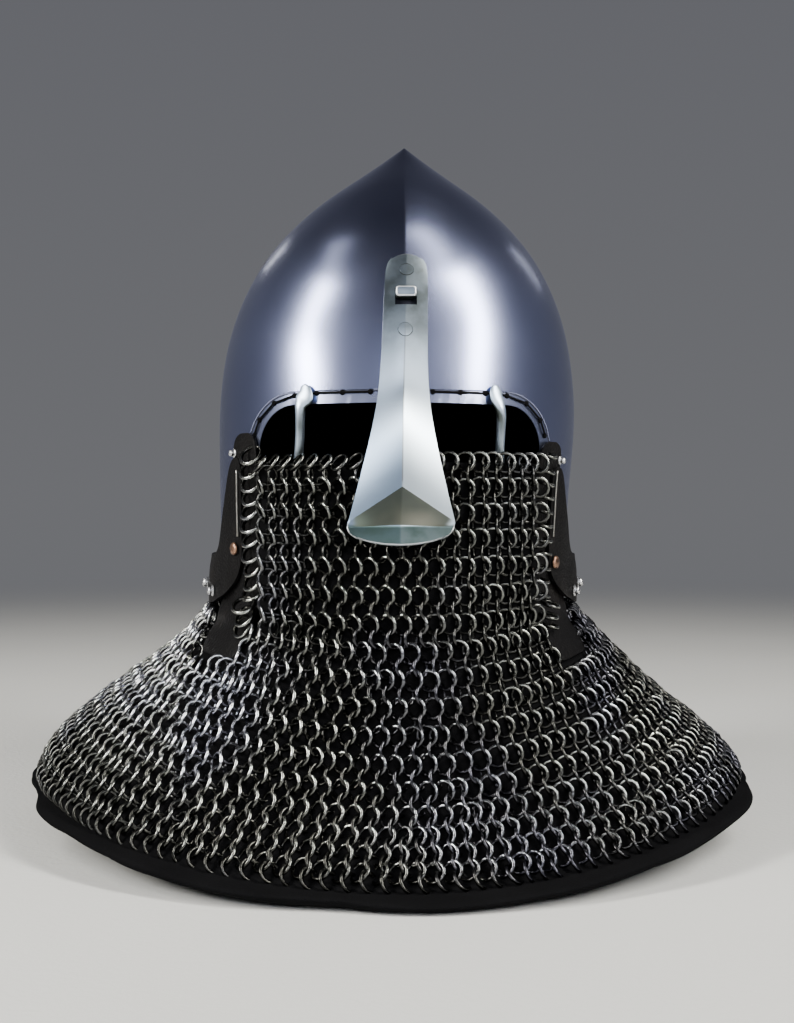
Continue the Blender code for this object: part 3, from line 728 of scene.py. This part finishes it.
def turned(name, profile, centre, axis, segments):
    """A turned piece: a profile of radius and height spun about its axis, then stood on its place."""
    obj = start(name, bpy.ops.mesh.primitive_plane_add, size=0.001)
    steps = np.diff([(0, 0)] + profile, axis=0) * MM
    with editing(obj):
        bpy.ops.mesh.select_mode(type="VERT")
        pick_all()
        bpy.ops.mesh.merge(type="CENTER")
        bpy.ops.transform.translate(value=(steps[0][0], 0, steps[0][1]))
        for out, up in steps[1:]:
            bpy.ops.mesh.extrude_region_move(TRANSFORM_OT_translate={"value": (out, 0, up)})
        pick_all()
        bpy.ops.mesh.spin(steps=segments, angle=2 * math.pi, center=(0, 0, 0), axis=(0, 0, 1))
        pick_all()
        bpy.ops.mesh.remove_doubles(threshold=1e-6)
        bpy.ops.mesh.normals_make_consistent(inside=False)
    stand(obj, centre, Vector(axis).to_track_quat("Z", "X").to_matrix())
    return obj


def stand(obj, centre, turn):
    """Turns a piece made upright at the origin, and moves it to its place."""
    obj.matrix_world = Matrix.Translation(Vector((np.asarray(centre) + SHIFT) * MM)) @ turn.to_4x4()
    settle_in_place(obj)


def set_crease(obj, test, value):
    with editing(obj):
        pick(test, "EDGE")
        bpy.ops.transform.edge_crease(value=value)


def coat(obj, *finishes):
    """Hangs finishes on a piece; a modifier that makes new faces can then give them the second."""
    for name in finishes:
        obj.data.materials.append(FINISHES[name])


def hand_over(obj, finishes, nodes):
    """The piece's finishes, and its place in the part."""
    marks = [face.material_index for face in obj.data.polygons]
    obj.data.materials.clear()
    coat(obj, *finishes)
    obj.data.polygons.foreach_set("material_index", marks)
    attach(obj, "root")
    if nodes:
        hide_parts(*nodes)


def done(obj, finishes, nodes, angle):
    """Smooth shading over edges blunter than this angle, then the finishes and the place in the part."""
    choose(obj)
    bpy.ops.object.shade_smooth_by_angle(angle=math.radians(angle))
    hand_over(obj, finishes, nodes)


# ---------------------------------------------------------------- steel

def make_skull():
    half = [0, 3, 6.5, 10.5, 15, 20, 26, 32, 38, 44, 50, 56.5, 63, 70, 77, 84]
    half += [90] + [180 - a for a in half[::-1]]
    angles = np.array(half + [360 - a for a in half[-2:0:-1]], float)
    heights = [146, 158, 176, 196, 218, 242, 266, 290, 312, 333, 352, 369, 384, 398, 411, 424, 436]
    heights += [444.5, 449.8]
    rows = [on_skull(angles, z) for z in heights]
    rows.append(np.repeat(skull_face(np.array([0.0]), np.array([SKULL_TOP])), len(angles), axis=0))
    skull = loft("skull_shell", rows, closed=True)

    def on_ridge(edge):
        off = [v.co.x - (float(skull_row(v.co.z / MM)[3]) * MM + MIDDLE) for v in edge.verts]
        return max(map(abs, off)) < 2e-4 and edge.verts[0].co.z < 0.451

    set_crease(skull, on_ridge, 0.9)
    smooth(skull, 2)
    coat(skull, "polished_steel", "shaded_inside")
    # the inner faces take the second finish, near black painted shade
    wall(skull, 2.0, material_offset=1, material_offset_rim=0)
    cut(skull, face_cutter())
    done(skull, ["polished_steel", "shaded_inside"], ["skull"], 30)


def face_cutter():
    """The face opening with its rounded upper corners, and the holes for the lining's thread."""
    tool = block("face_cutter", (MIDDLE, -0.118, FACE_TOP - 0.06), (2 * FACE_HALF, 0.2, 0.12))

    def upper_corner(edge):
        a, b = (v.co for v in edge.verts)
        return min(a.z, b.z) > FACE_TOP - 0.006 and abs(a.x - b.x) < 1e-6

    with editing(tool):
        pick(upper_corner, "EDGE")
        bpy.ops.mesh.bevel(offset=CORNER_WIDE, segments=12)
        pick_all()
        taller = (1, 1, CORNER_TALL / CORNER_WIDE)
        bpy.ops.transform.resize(value=taller, center_override=(MIDDLE, 0, FACE_TOP))
        pick(lambda v: v.co.z < 0.13)
        bpy.ops.transform.resize(value=(0.086 / FACE_HALF, 1, 1), center_override=(MIDDLE, 0, 0))
    drills = [turned("drill", drill_profile(1.6), at, way_out(at), 8) for at in lining_holes()]
    return join([tool] + drills)


def drill_profile(radius):
    reach = 6
    return [(0, -reach), (radius, -reach), (radius, reach), (0, reach)]


def lining_holes():
    for side, _ in SIDES:
        for x, z in LINING_HOLES:
            yield np.array([side * x, float(skull_front(side * x, z)[0]), z])


def make_lining_thread():
    """Running stitches that hold the skull's lining, seen between the holes of the brow."""
    thread = 0.62
    runs = []
    for side, _ in SIDES:
        for (x0, z0), (x1, z1) in zip(LINING_HOLES, LINING_HOLES[1:]):
            t = np.linspace(0, 1, 9)
            x, z = side * (x0 + (x1 - x0) * t), z0 + (z1 - z0) * t
            y, ny = skull_front(x, z)
            lift = -1.0 + 1.45 * share_of(np.minimum(t, 1 - t), 0, 0.1)
            path = np.stack([x, y - lift / ny, z, np.full_like(x, thread), np.full_like(x, thread)], -1)
            runs.append(tube("stitch", path, 8))
    knot = [(0, -1.6), (1.5, -1.6), (1.75, -0.3), (1.5, 0.35), (0.8, 0.6), (0, 0.7)]
    runs += [turned("knot", knot, at, way_out(at), 12) for at in lining_holes()]
    join(runs).name = "lining_thread"
    done(runs[0], ["black_cloth"], None, 60)


def nasal_middle(z):
    """x of the nasal's keel, which leans a little."""
    return NASAL_FOOT_X + NASAL_LEAN * (z - NASAL_FOOT_Z)


def make_nasal():
    across = np.array([-1.0, -0.86, -0.62, -0.3, 0.0, 0.3, 0.62, 0.86, 1.0])
    cols, mid, last = len(across), len(across) // 2, len(NASAL_ROWS) - 1
    lift, flatter, rivet_hole = 2.85, 0.62, 4.3
    rows = []
    for i, (zk, ze, half, keel, edge) in enumerate(NASAL_ROWS):
        z = zk + (ze - zk) * abs(across) ** (2.4 if i < 3 or i > UNDER_ROW else 1.0)
        x = nasal_middle(zk) + half * across
        if keel:
            y = -(keel + (edge - keel) * abs(across) ** (2.0 if i >= UNDER_ROW else 1.0))
        else:
            y, ny = skull_front(x, z)
            y = y - lift / ny
            y = y[mid] + flatter * (y - y[mid])
        rows.append(np.stack([x, y, z], -1))
    nasal = loft("nasal_plate", rows[::-1])

    def row_of(vert):
        return last - vert.index // cols

    def keel_line(edge):
        return all(v.index % cols == mid and row_of(v) <= LIP_ROW for v in edge.verts)

    def along(n):
        return lambda edge: all(row_of(v) == n for v in edge.verts)

    set_crease(nasal, keel_line, 1.0)
    set_crease(nasal, along(LIP_ROW), 1.0)
    set_crease(nasal, along(UNDER_ROW), 0.55)
    smooth(nasal, 3)
    coat(nasal, "satin_steel", "edge_highlight")
    # the side walls take the second finish, a painted highlight
    wall(nasal, 2.4, material_offset_rim=1)
    round_and_light_outline(nasal, 1.0 * MM)
    slot_x = nasal_middle(STAPLE_Z) * MM + MIDDLE
    cut(nasal, block("slot_cutter", (slot_x, -0.118, 0.32805), (0.0127, 0.06, 0.0105)))
    for _, z in NASAL_RIVETS:
        foot, axis = on_keel(z)
        cut(nasal, turned("drill", drill_profile(rivet_hole), foot, axis, 28))
    done(nasal, ["satin_steel", "edge_highlight"], ["nasal"], 24)


def round_and_light_outline(obj, width):
    """Rounds the edges between a plate's face and its side walls, and gives them the second finish, a painted
    highlight.
    """
    faces_at = {}
    for face in obj.data.polygons:
        for key in face.edge_keys:
            faces_at.setdefault(tuple(sorted(key)), set()).add(face.material_index)
    outline = {key for key, marks in faces_at.items() if len(marks) == 2}
    with editing(obj):
        pick(lambda e: tuple(sorted((e.verts[0].index, e.verts[1].index))) in outline, "EDGE")
        bpy.ops.mesh.bevel(offset=width, segments=2, material=1)


def on_keel(z):
    """The place on the skull behind the nasal's keel, and the way that the skull looks there."""
    def y(px, pz):
        return float(skull_front(px, pz)[0])

    x = nasal_middle(z)
    across = (y(x + 6, z) - y(x - 6, z)) / 12
    up = (y(x, z + 3) - y(x, z - 3)) / 6
    return (x, y(x, z), z), unit(np.array([across, -1.0, up]))


def make_nasal_rivets():
    profile = [(0, 0.4), (4.05, 0.4), (4.05, 2.6), (3.95, 2.72), (2.6, 2.8), (0, 2.84)]
    for name, z in NASAL_RIVETS:
        foot, axis = on_keel(z)
        rivet = turned(name + "_head", profile, foot, axis, 28)
        done(rivet, ["satin_steel"], [name], 40)


def make_staple():
    x, z = nasal_middle(STAPLE_Z), STAPLE_Z - 0.4
    y, _ = skull_front(x, z)
    height = 7.0 * MM
    staple = block("staple", (0, 0, 0), (11.9 * MM, 6.1 * MM, height))
    coat(staple, "satin_block", "edge_highlight")
    with editing(staple):
        pick(lambda e: abs(e.verts[0].co.z - e.verts[1].co.z) > 0.001, "EDGE")
        bpy.ops.mesh.bevel(offset=1.9 * MM, segments=5)
        pick(lambda e: all(v.co.z > 0.48 * height for v in e.verts), "EDGE")
        # the top edges take the second finish, a painted highlight
        bpy.ops.mesh.bevel(offset=0.9 * MM, segments=3, material=1)
    axis = unit(np.array([0.0, -1.0, 0.10]))
    turn = Matrix((Vector((1, 0, 0)), Vector(np.cross(axis, (1, 0, 0))), Vector(axis))).transposed()
    stand(staple, np.array([x, y, z]) + axis * 4.4, turn)
    done(staple, ["satin_block", "edge_highlight"], ["nasal_staple"], 40)


def make_bars():
    for side, word in SIDES:
        path = []
        for i, (x, y, z, wide, deep) in enumerate(BAR_PATH):
            if i < len(LOBES[word]):
                x, wide = LOBES[word][i]
            px = side * x + float(skull_row(z)[3])
            if not y:
                face, ny = skull_front(px, z)
                y = float(face - (0.5 + deep) / ny)
            path.append((px, y, z, wide, deep))
        bar = tube("bar_" + word, path, 20)
        done(bar, ["bright_bar"], ["guard_bar_" + word], 60)


# ---------------------------------------------------------------- leather and its fittings

def band_off(angle, z):
    """The gap between the skull and the inside of the band."""
    side = share_of(abs(angle), 62.0, 76.0)
    low, bulge = share_of(z, 168.0, 154.0), share_of(z, 178.0, 166.0)
    return 2.9 + 0.9 * low + 2.0 * side * side * (3 - 2 * side) * bulge


def turned_angle(angle, side):
    return angle if side > 0 else 360.0 - angle


def make_band():
    half = np.concatenate([
        [51.6, 52.0, 52.7, 53.6, 54.7, 56.0, 57.5, 59.0, 60.5, 62.5, 64.5, 66.5, 69.0, 71.5, 75.0],
        np.arange(79.0, 176.0, 6.0),
    ])
    angles = np.concatenate([half, [180.0], 360.0 - half[::-1]])
    g = np.where(angles <= 180.0, angles, 360.0 - angles)
    low, high = (fit(BAND_EDGE[:, 0], BAND_EDGE[:, c], g) for c in (1, 2))
    drop = RIGHT_TAB_DROP * share_of(high, 190.0, 220.0)
    high = high + np.where(angles < 180.0, drop, 0.0)
    rows = []
    skived = 0.9 * share_of(g, 60.0, 54.0)
    for share in np.linspace(0, 1, 12):
        z = low + (high - low) * share
        rows.append(on_skull(angles, z, band_off(g, z) + LEATHER - skived))
    band = loft("band", rows)
    smooth(band, 1)
    wall(band, LEATHER - 0.1)
    soften(band, 0.9, 3)
    done(band, ["black_leather"], ["leather_band"], 50)


def make_flaps():
    n = np.arange(len(FLAP_ROWS), dtype=float)
    upper, lower = slice(None, FLAP_TURN), slice(FLAP_TURN, None)
    on_face = 1.2
    for side, word in SIDES:
        rows = []
        for s in np.linspace(0, len(n) - 1, 37)[::-1]:
            a = np.linspace(fit(n, FLAP_ROWS[:, 0], s), fit(n, FLAP_ROWS[:, 1], s), 9)
            a = turned_angle(a, side)[::side]
            if s <= FLAP_TURN - 1:
                z = fit(n[upper], FLAP_ROWS[upper, 2], s)
                z = z + (RIGHT_TAB_DROP * share_of(z, 225.0, 235.0) if side > 0 else 0.0)
                rows.append(on_skull(a, z, FLAP_LIFT))
            elif s >= FLAP_TURN:
                rows.append(on_mantle(a, fit(n[lower], FLAP_ROWS[lower, 3], s), on_face))
            else:
                above = on_skull(a, FLAP_ROWS[FLAP_TURN - 1, 2], FLAP_LIFT)
                below = on_mantle(a, FLAP_ROWS[FLAP_TURN, 3], on_face)
                rows.append(above + (below - above) * (s - FLAP_TURN + 1))
        flap = loft("flap_" + word, rows)
        smooth(flap, 1)
        wall(flap, 1.9)
        soften(flap, 0.6, 2)
        done(flap, ["black_leather"], ["leather_flap_" + word], 50)


def make_studs():
    for side, word in SIDES:
        for name, angle, z, r in STUDS:
            off = float(band_off(angle, z)) + LEATHER
            if name == "vervelle_upper":
                off = 2.5
                z += 0.8 * RIGHT_TAB_DROP if side > 0 else 0.0
            foot, axis = stud_place(angle, side, z, off)
            profile = [(r * wide, high) for wide, high in STUD_PROFILE]
            stud = turned("head_%s_%s" % (name, word), profile, foot, axis, 20)
            done(stud, ["silver_stud"], [name + "_" + word], 50)
        off = float(band_off(COPPER_ANGLE, 176.0)) + LEATHER
        foot, axis = stud_place(COPPER_ANGLE, side, COPPER_Z[word], off)
        profile = [(0, 0.1), (4.0, 0.1), (4.05, 0.6), (3.7, 1.25), (2.6, 1.8), (1.2, 2.05), (0, 2.1)]
        rivet = turned("rivet_" + word, profile, foot, axis, 22)
        done(rivet, ["copper"], ["copper_rivet_" + word], 60)
        z = np.linspace(228.0, 188.0, 7)
        line = on_skull(np.full(7, turned_angle(ROD_ANGLE, side)), z, 5.9)
        path = np.concatenate([line, np.full((7, 2), 0.6)], axis=1)
        done(tube("rod_" + word, path, 12), ["thin_rod"], ["vervelle_rod_" + word], 60)


def stud_place(angle, side, z, off):
    """The foot of a stud on the leather, and the way that it looks."""
    a = turned_angle(angle, side)
    return on_skull(a, z, off), skull_normal(np.array(a), np.array(z))


# ---------------------------------------------------------------- mail

def ring_pattern():
    """One ring of round wire, made once; its points and faces are then repeated."""
    sizes = {"major_radius": RING_R, "minor_radius": WIRE_R, "major_segments": 14, "minor_segments": 5}
    ring = start("ring", bpy.ops.mesh.primitive_torus_add, **sizes)
    points = points_of(ring)
    faces = np.array([list(p.vertices) for p in ring.data.polygons])
    bpy.data.objects.remove(ring)
    return points, faces


def ring_cloth(name, centres, axes, ups, outs, painted_shine, scale=None):
    """Rings at these centres; each lies across its axis, with ups in its plane. outs is the way out of the
    cloth, and the shine how bright a ring is painted where it stands proud: partly worn bright by rubbing,
    partly painted highlight."""
    points, faces = RING
    count = len(centres)
    axes = unit(axes)
    side = unit(np.cross(axes, ups))
    ups = np.cross(side, axes)
    turn = np.stack([ups, side, axes], -1)
    spin = rng.uniform(0, 2 * np.pi, count)
    c, s = np.cos(spin)[:, None], np.sin(spin)[:, None]
    x, y, z = points.T
    local = np.stack([x * c - y * s, x * s + y * c, np.repeat(z[None], count, 0)], -1)
    if scale is not None:
        local = local * scale[:, None, None]
    local = np.einsum("nij,nkj->nki", turn, local)
    # painted bright where a ring stands proud, partly worn by rubbing and partly painted highlight; brightest
    # at its top, a painted highlight from above; all round where the shine is high
    proud = share_of(np.einsum("nki,ni->nk", local, outs), -0.1, 2.8)
    upper = np.clip(0.56 - 0.56 * np.einsum("nki,ni->nk", local, ups) / RING_R, 0.02, 1.1)
    rub_and_highlight = proud * proud * (3 - 2 * proud) * upper * (painted_shine * rng.uniform(0.6, 1.0, count))[:, None]
    rub_and_highlight = rub_and_highlight + 0.55 * share_of(painted_shine, 0.95, 1.95)[:, None]
    world = ((centres[:, None, :] + local).reshape(-1, 3) + SHIFT) * MM
    all_faces = (faces[None] + np.arange(count)[:, None, None] * len(points)).reshape(-1, faces.shape[1])
    mesh = bpy.data.meshes.new(name)
    mesh.from_pydata(world.tolist(), [], all_faces.tolist())
    mesh.attributes.new("rub_and_highlight", "FLOAT", "POINT").data.foreach_set("value", rub_and_highlight.ravel())
    obj = bpy.data.objects.new(name, mesh)
    bpy.context.scene.collection.objects.link(obj)
    choose(obj)
    bpy.ops.object.shade_smooth()
    hand_over(obj, ["dark_mail"], ["mail"])


def row_number(angle, share_front, share_side):
    """The table row where a ring row lies at each angle, from its share of the way to the hem."""
    front = np.maximum(0.0, np.cos(np.radians(angle))) ** 1.5
    return way_to_row(angle, share_front * front + share_side * (1 - front))


def way_table(step=3.0):
    """Length down the mantle from the neck, at each angle, for each table row."""
    angles = np.arange(0.0, 361.0, step)
    rows = np.linspace(FIRST_FULL, LAST_ROW, 81)
    a, r = np.meshgrid(angles, rows, indexing="ij")
    gone = np.cumsum(np.linalg.norm(np.diff(mantle_face(a, r), axis=1), axis=2), 1)
    return step, rows, np.concatenate([np.zeros((len(angles), 1)), gone], 1)


def way_to_row(angle, share):
    """share 0 is just below the neck row, 1 is a little above the hem."""
    step, rows, length = WAYS
    above_hem = 5.5
    angle = np.asarray(angle, float) % 360.0
    out = np.empty(angle.shape)
    for k, a in enumerate(angle):
        i = a / step
        i0 = int(i)
        line = length[i0] + (length[min(i0 + 1, len(length) - 1)] - length[i0]) * (i - i0)
        below_neck = 4.5 + 2.5 * max(0.0, math.cos(math.radians(a))) ** 2
        out[k] = np.interp(below_neck + share[k] * (line[-1] - below_neck - above_hem), line, rows)
    return out


def row_shares():
    """Share of the way down for each full row: evenly at the sides, drawn together at the front hem."""
    even = np.linspace(0, 1, FULL_ROWS)
    steps = np.interp(np.arange(FULL_ROWS - 1), [0, 8.5, 12.5, 18], [8.1, 8.1, 6.2, 5.3])
    front = np.concatenate([[0], np.cumsum(steps)])
    return front / front[-1], even


def settle(counts, adds):
    """Places round each row, as shares of its length: each ring hangs midway between two above, and added
    rings push their neighbours aside until the whole net lies evenly."""
    pull, pace, rounds = 1.5, 0.6, 260
    rows = [(np.arange(counts[0]) + 0.5) / counts[0]]
    links = [None]
    for n, extra in zip(counts[1:], adds[1:]):
        above = rows[-1]
        pairs = [(j, (j + 1) % len(above)) for j in range(len(above))]
        mids = [above[j] + ((above[k] - above[j]) % 1.0) / 2 for j, k in pairs]
        items = list(zip(mids, pairs)) + [(above[j], (j, j)) for j in extra]
        items.sort(key=lambda item: item[0] % 1.0)
        rows.append(np.array([item[0] % 1.0 for item in items]))
        links.append(np.array([item[1] for item in items]))
    for _ in range(rounds):
        for i in range(len(rows)):
            u = rows[i]
            gap_next = (np.roll(u, -1) - u) % 1.0
            gap_last = (u - np.roll(u, 1)) % 1.0
            move = (gap_next - gap_last) / 2
            weight = np.ones(len(u))
            if i > 0:
                up = rows[i - 1]
                a, b = links[i][:, 0], links[i][:, 1]
                middle = up[a] + ((up[b] - up[a]) % 1.0) / 2
                move = move + pull * ((middle - u + 0.5) % 1.0 - 0.5)
                weight += pull
            if i < len(rows) - 1:
                down, pair = rows[i + 1], links[i + 1]
                total, hits = np.zeros(len(u)), np.zeros(len(u))
                for c in (0, 1):
                    d = (down - u[pair[:, c]] + 0.5) % 1.0 - 0.5
                    np.add.at(total, pair[:, c], d)
                    np.add.at(hits, pair[:, c], 1)
                move = move + pull * total / np.maximum(hits, 1)
                weight += pull
            if i > 0:
                rows[i] = (u + pace * move / weight) % 1.0
    return rows


def walk_along(angle_line, row_line):
    """Length along a row of rings, up to each of its angles."""
    p = mantle_face(angle_line, row_line)
    return np.concatenate([[0], np.cumsum(np.linalg.norm(np.diff(p, axis=0), axis=1))])


def ring_places(angle, row, under, top=False):
    """Centre, axis, down, way out and shine of each ring. Every other row lies under its neighbours; those rows
    are painted darker, painted shade.
    """
    count = len(angle)
    lean, out = (46.0, 1.1) if under else (-34.0, 2.1)
    n = mantle_normal(angle, row)
    along = unit(mantle_face(angle + 0.5, row) - mantle_face(angle - 0.5, row))
    along = unit(along - n * (along * n).sum(-1, keepdims=True))
    down = np.cross(along, n)
    tilt = np.radians(lean + rng.normal(0, 4.5, count))[:, None]
    if top:
        sag = np.where(angle < -4, -0.75, -0.1)
    else:
        # the rings on the left of the face hang a little steeper; there the angles are below 0
        sag = 0.0 if under else 0.08 + 0.27 * share_of(angle, 0, -20.0)
    nod = (sag + rng.normal(0, 0.06, count))[:, None]
    axis = np.cos(tilt) * n + np.sin(tilt) * along + np.sin(nod) * down
    shift = rng.normal(0, 0.22, (3, count))[..., None]
    centre = mantle_face(angle, row) + (out + shift[0]) * n + shift[1] * along + shift[2] * down
    # painted light and shade over the mantle
    shine = brightening(angle, row)
    # the rows that lie under are painted darker: painted shade
    if under:
        shine = np.maximum(0.1 * shine, 0.8 * (shine - 0.85))
    return centre, axis, down, n, shine


def brightening(angle, row):
    """Painted light and shade on the mail: lightest on its left shoulder, lighter low at the front and on its
    flanks, darker high on its right and towards the hem.
    """
    a = (angle + 180.0) % 360.0 - 180.0
    left = hill(a, -62, 30) * hill(row, 7.4, 2.6)
    right = hill(a, 78, 38) * hill(row, 7.0, 3.2)
    low = hill(a, 0, 50) * share_of(row, 8, 11)
    flank = hill(abs(a), 46, 20) * hill(row, 10.0, 1.7)
    edge = share_of(row, 11.2, 12.4)
    return 0.60 + 2.0 * left - 0.46 * right + 0.3 * low + 0.35 * flank - 0.3 * edge


def flap_clear(angle, row):
    """False where a ring would lie under a leather flap."""
    front_edge, back_edge, _, rows = FLAP_ROWS[FLAP_TURN:].T
    a = np.where(angle > 180.0, 360.0 - angle, angle)
    front, back = np.interp(row, rows, front_edge), np.interp(row, rows, back_edge)
    return ~((row < rows[-1] + 0.2) & (a > front - 0.5) & (a < back + 1.0))


def make_face_mail():
    """Straight columns of rings between the two leather flaps."""
    rings = []
    line = np.linspace(-PANEL_ANGLE - 2, PANEL_ANGLE + 2, 181)
    for i in range(PANEL_ROWS):
        row = 0.375 + 0.332 * i if i < 6 else 0.183 + 0.364 * i
        length = walk_along(line, np.full(len(line), row))
        middle = np.interp(0.0, line, length)
        k = np.arange(-10, 11) if i % 2 == 0 else np.arange(-10, 10) + 0.5
        angle = np.interp(middle + k * RING_PITCH, length, line)
        rings.append(ring_places(angle, np.full(len(angle), row), i % 2, top=i == 0))
    ring_cloth("mail_face", *(np.concatenate(v) for v in zip(*rings)))


def make_mantle_mail():
    """Closed rows from the neck to the hem, with rings added as the mantle widens."""
    line = np.arange(0.0, 360.01, 1.5)
    rows = [row_number(line, front, even) for front, even in zip(*row_shares())]
    lengths = [walk_along(line, row) for row in rows]
    pitch = np.interp(np.arange(FULL_ROWS), [0, 8, 19], [RING_PITCH, 9.3, 9.7])
    counts, adds = [], []
    for i, length in enumerate(lengths):
        wanted = int(round(length[-1] / pitch[i]))
        above = counts[-1] if counts else wanted
        extra = max(0, wanted - above) if i % 2 == 0 else 0
        first = (i * 0.37) % 1.0
        adds.append(sorted({int((first + k / extra) % 1.0 * above) for k in range(extra)}))
        counts.append(above + len(adds[-1]))
    rings, angles = [], []
    for i, u in enumerate(settle(counts, adds)):
        angle = np.interp(u * lengths[i][-1], lengths[i], line)
        row = np.interp(angle, line, rows[i])
        keep = flap_clear(angle, row)
        rings.append(ring_places(angle[keep], row[keep], i % 2))
        angles.append(angle[keep])
    rings = [np.concatenate(v) for v in zip(*rings)]
    quarter = np.floor(((np.concatenate(angles) + 45.0) % 360.0) / 90.0).astype(int)
    for q, word in enumerate(("front", "right", "back", "left")):
        ring_cloth("mail_" + word, *(v[quarter == q] for v in rings))


def make_lacing():
    """Rings that hang the face mail on the front edge of each leather flap."""
    right = np.array([1.0, 0.0, 0.0])
    rings = []
    for side, _ in SIDES:
        for i in range(PANEL_ROWS):
            z = 237.0 - 8.35 * i
            front = 46.3 + 0.10 * max(0.0, 160 - z)
            a = turned_angle(front + (0.9 if side > 0 else 0.0), side)
            p = on_skull(a, z, 4.9) if z > 150 else on_mantle(a, 4.0 + (152.0 - z) / 21.0, 1.9)
            n = skull_normal(np.array(a), np.array(z))
            wobble = rng.normal(0, 0.10, 3)
            centre = p + rng.normal(0, 0.35, 3)
            if side > 0:
                axis = np.array([0.0, 0.0, 1.0]) + 0.22 * n + 0.10 * right + 0.6 * wobble
            else:
                axis = np.array([0.0, 0.0, 0.72]) + 1.0 * n + 0.25 * right + 1.3 * wobble
            rings.append((centre, axis, np.array([n[1], -n[0], 0.0]), n))
    centres, axes, ups, outs = (np.array(v) for v in zip(*rings))
    size = np.where(centres[:, 0] < 0, 1.18, 1.0)
    ring_cloth("mail_lacing", centres, axes, ups, outs, np.full(len(centres), 0.8), size)


# ---------------------------------------------------------------- lining

def swell(obj):
    """Lets the stuffing push the cloth out: less at the neck, where the mail lies on it, than at the hem."""
    before = points_of(obj)
    choose(obj)
    cloth = obj.modifiers.new("stuffing", "CLOTH")
    set_all(
        cloth.settings, quality=4, mass=0.15, tension_stiffness=8.0, compression_stiffness=8.0,
        shear_stiffness=4.0, bending_stiffness=0.05, use_pressure=True, uniform_pressure_force=4.0,
        shrink_min=-0.10, shrink_max=-0.10)
    cloth.settings.effector_weights.gravity = 0.0
    cloth.collision_settings.use_collision = False
    for moment in range(1, 17):
        bpy.context.scene.frame_set(moment)
    bpy.ops.object.modifier_apply(modifier=cloth.name)
    bpy.context.scene.frame_set(1)
    move = points_of(obj) - before
    far = np.linalg.norm(move, axis=1, keepdims=True)
    reach = np.linalg.norm(before[:, :2] - (MIDDLE, 0.02), axis=1, keepdims=True)
    at_neck, at_hem = 0.5 * MM, 3.2 * MM
    most = at_neck + (at_hem - at_neck) * share_of(reach, 0.15, 0.21)
    after = before + move * np.minimum(1.0, most / np.maximum(far, 1e-9))
    after[:, 2] = np.maximum(after[:, 2], 0.4 * MM)
    move_points(obj, after)


def stand_on_floor(obj):
    """Presses the foot of the hem down to the floor."""
    points = points_of(obj)
    z = points[:, 2]
    lift, pressed = z.min() - 0.2 * MM, 16 * MM
    points[:, 2] = z - lift * share_of(z, pressed, z.min())
    move_points(obj, points)


def make_lining():
    """The padded mantle under the mail, an endless roll from the neck to the hem, and the cloth of the face."""
    angles = np.arange(0.0, 360.0, 4.0)
    t = np.radians(angles)
    rows = np.array([5.0, 5.5, 6.2, 7.0, 8.0, 9.0, 10.0, 11.0, 12.0, 12.6, 13.0])
    under_mail = -3.1
    wave = (0.9 * np.sin(np.radians(angles * 7)) + 0.8 * np.sin(np.radians(angles * 11 + 40))
            + 0.6 * np.sin(np.radians(angles * 17 + 75)))
    inside = []
    for r in rows:
        thick = 2.0 + 6.0 * min(1.0, (r - FIRST_FULL + 1) / 4)
        p = on_mantle(angles, r, -2.35 - thick)
        p[:, 2] = np.maximum(p[:, 2], 1.2)
        inside.append(p)
    outside = [on_mantle(angles, r, under_mail) for r in rows]
    top, under = place(angles, HEM_TOP), place(angles, HEM_UNDER)
    outward = unit(np.stack([np.sin(t), -np.cos(t), 0 * t], -1))
    top = top + outward * (0.4 + wave)[:, None]
    middle = (top + under) / 2 + outward * (3.4 + wave)[:, None] + (0, 0, 0.6)
    foot = under + (0, 0, 0.15)
    hem = [foot, (foot + middle) / 2 + outward * 0.8, middle, top + (0, 0, 0.6)]
    mantle = loft("padded_mantle", inside + hem + outside[::-1] + inside[:1], closed=True)
    recalculate(mantle)
    smooth(mantle, 1)
    swell(mantle)
    smooth(mantle, 1)
    stand_on_floor(mantle)
    face_angles = np.linspace(-PANEL_ANGLE - 1.0, PANEL_ANGLE + 1.0, 31)
    face = loft("face_lining", [on_mantle(face_angles, r, under_mail) for r in np.linspace(5.3, 0.36, 12)])
    smooth(face, 1)
    wall(face, 2.0, even=False)
    soften(face, 0.6, 2)
    join([mantle, face])
    done(mantle, ["black_cloth"], ["mantle_lining"], 60)


# ---------------------------------------------------------------- assembly

set_camera()
set_room()
FINISHES = {
    "polished_steel": polished_steel(),
    "shaded_inside": shaded_inside(),
    "satin_steel": satin_steel(plate=True),
    "satin_block": satin_steel("satin_block", 0.22),
    "bright_bar": satin_steel("bright_bar", 1.0),
    # brighter metal on rounded edges: a painted highlight
    "edge_highlight": worn_metal("edge_highlight", 260.0, (0.70, 0.73, 0.78), (0.95, 0.97, 1.0), 0.42, 0.1),
    "black_leather": black_leather(),
    "silver_stud": worn_metal(
        "silver_stud", 700.0, (0.50, 0.50, 0.52), (0.82, 0.83, 0.84), 0.22, 0.2, (0.35, 0.65), 0.0001),
    "thin_rod": worn_metal("thin_rod", 300.0, (0.24, 0.23, 0.21), (0.46, 0.45, 0.42), 0.25, 0.2),
    "copper": worn_metal(
        "copper", 420.0, (0.13, 0.075, 0.055), (0.42, 0.25, 0.17), 0.28, 0.25, (0.3, 0.7), 0.0002),
    "dark_mail": dark_mail(),
    "black_cloth": black_cloth(),
}
make_skull()
make_lining_thread()
make_nasal()
make_nasal_rivets()
make_staple()
make_bars()
make_band()
make_flaps()
make_studs()
WAYS = way_table()
RING = ring_pattern()
make_face_mail()
make_mantle_mail()
make_lacing()
make_lining()
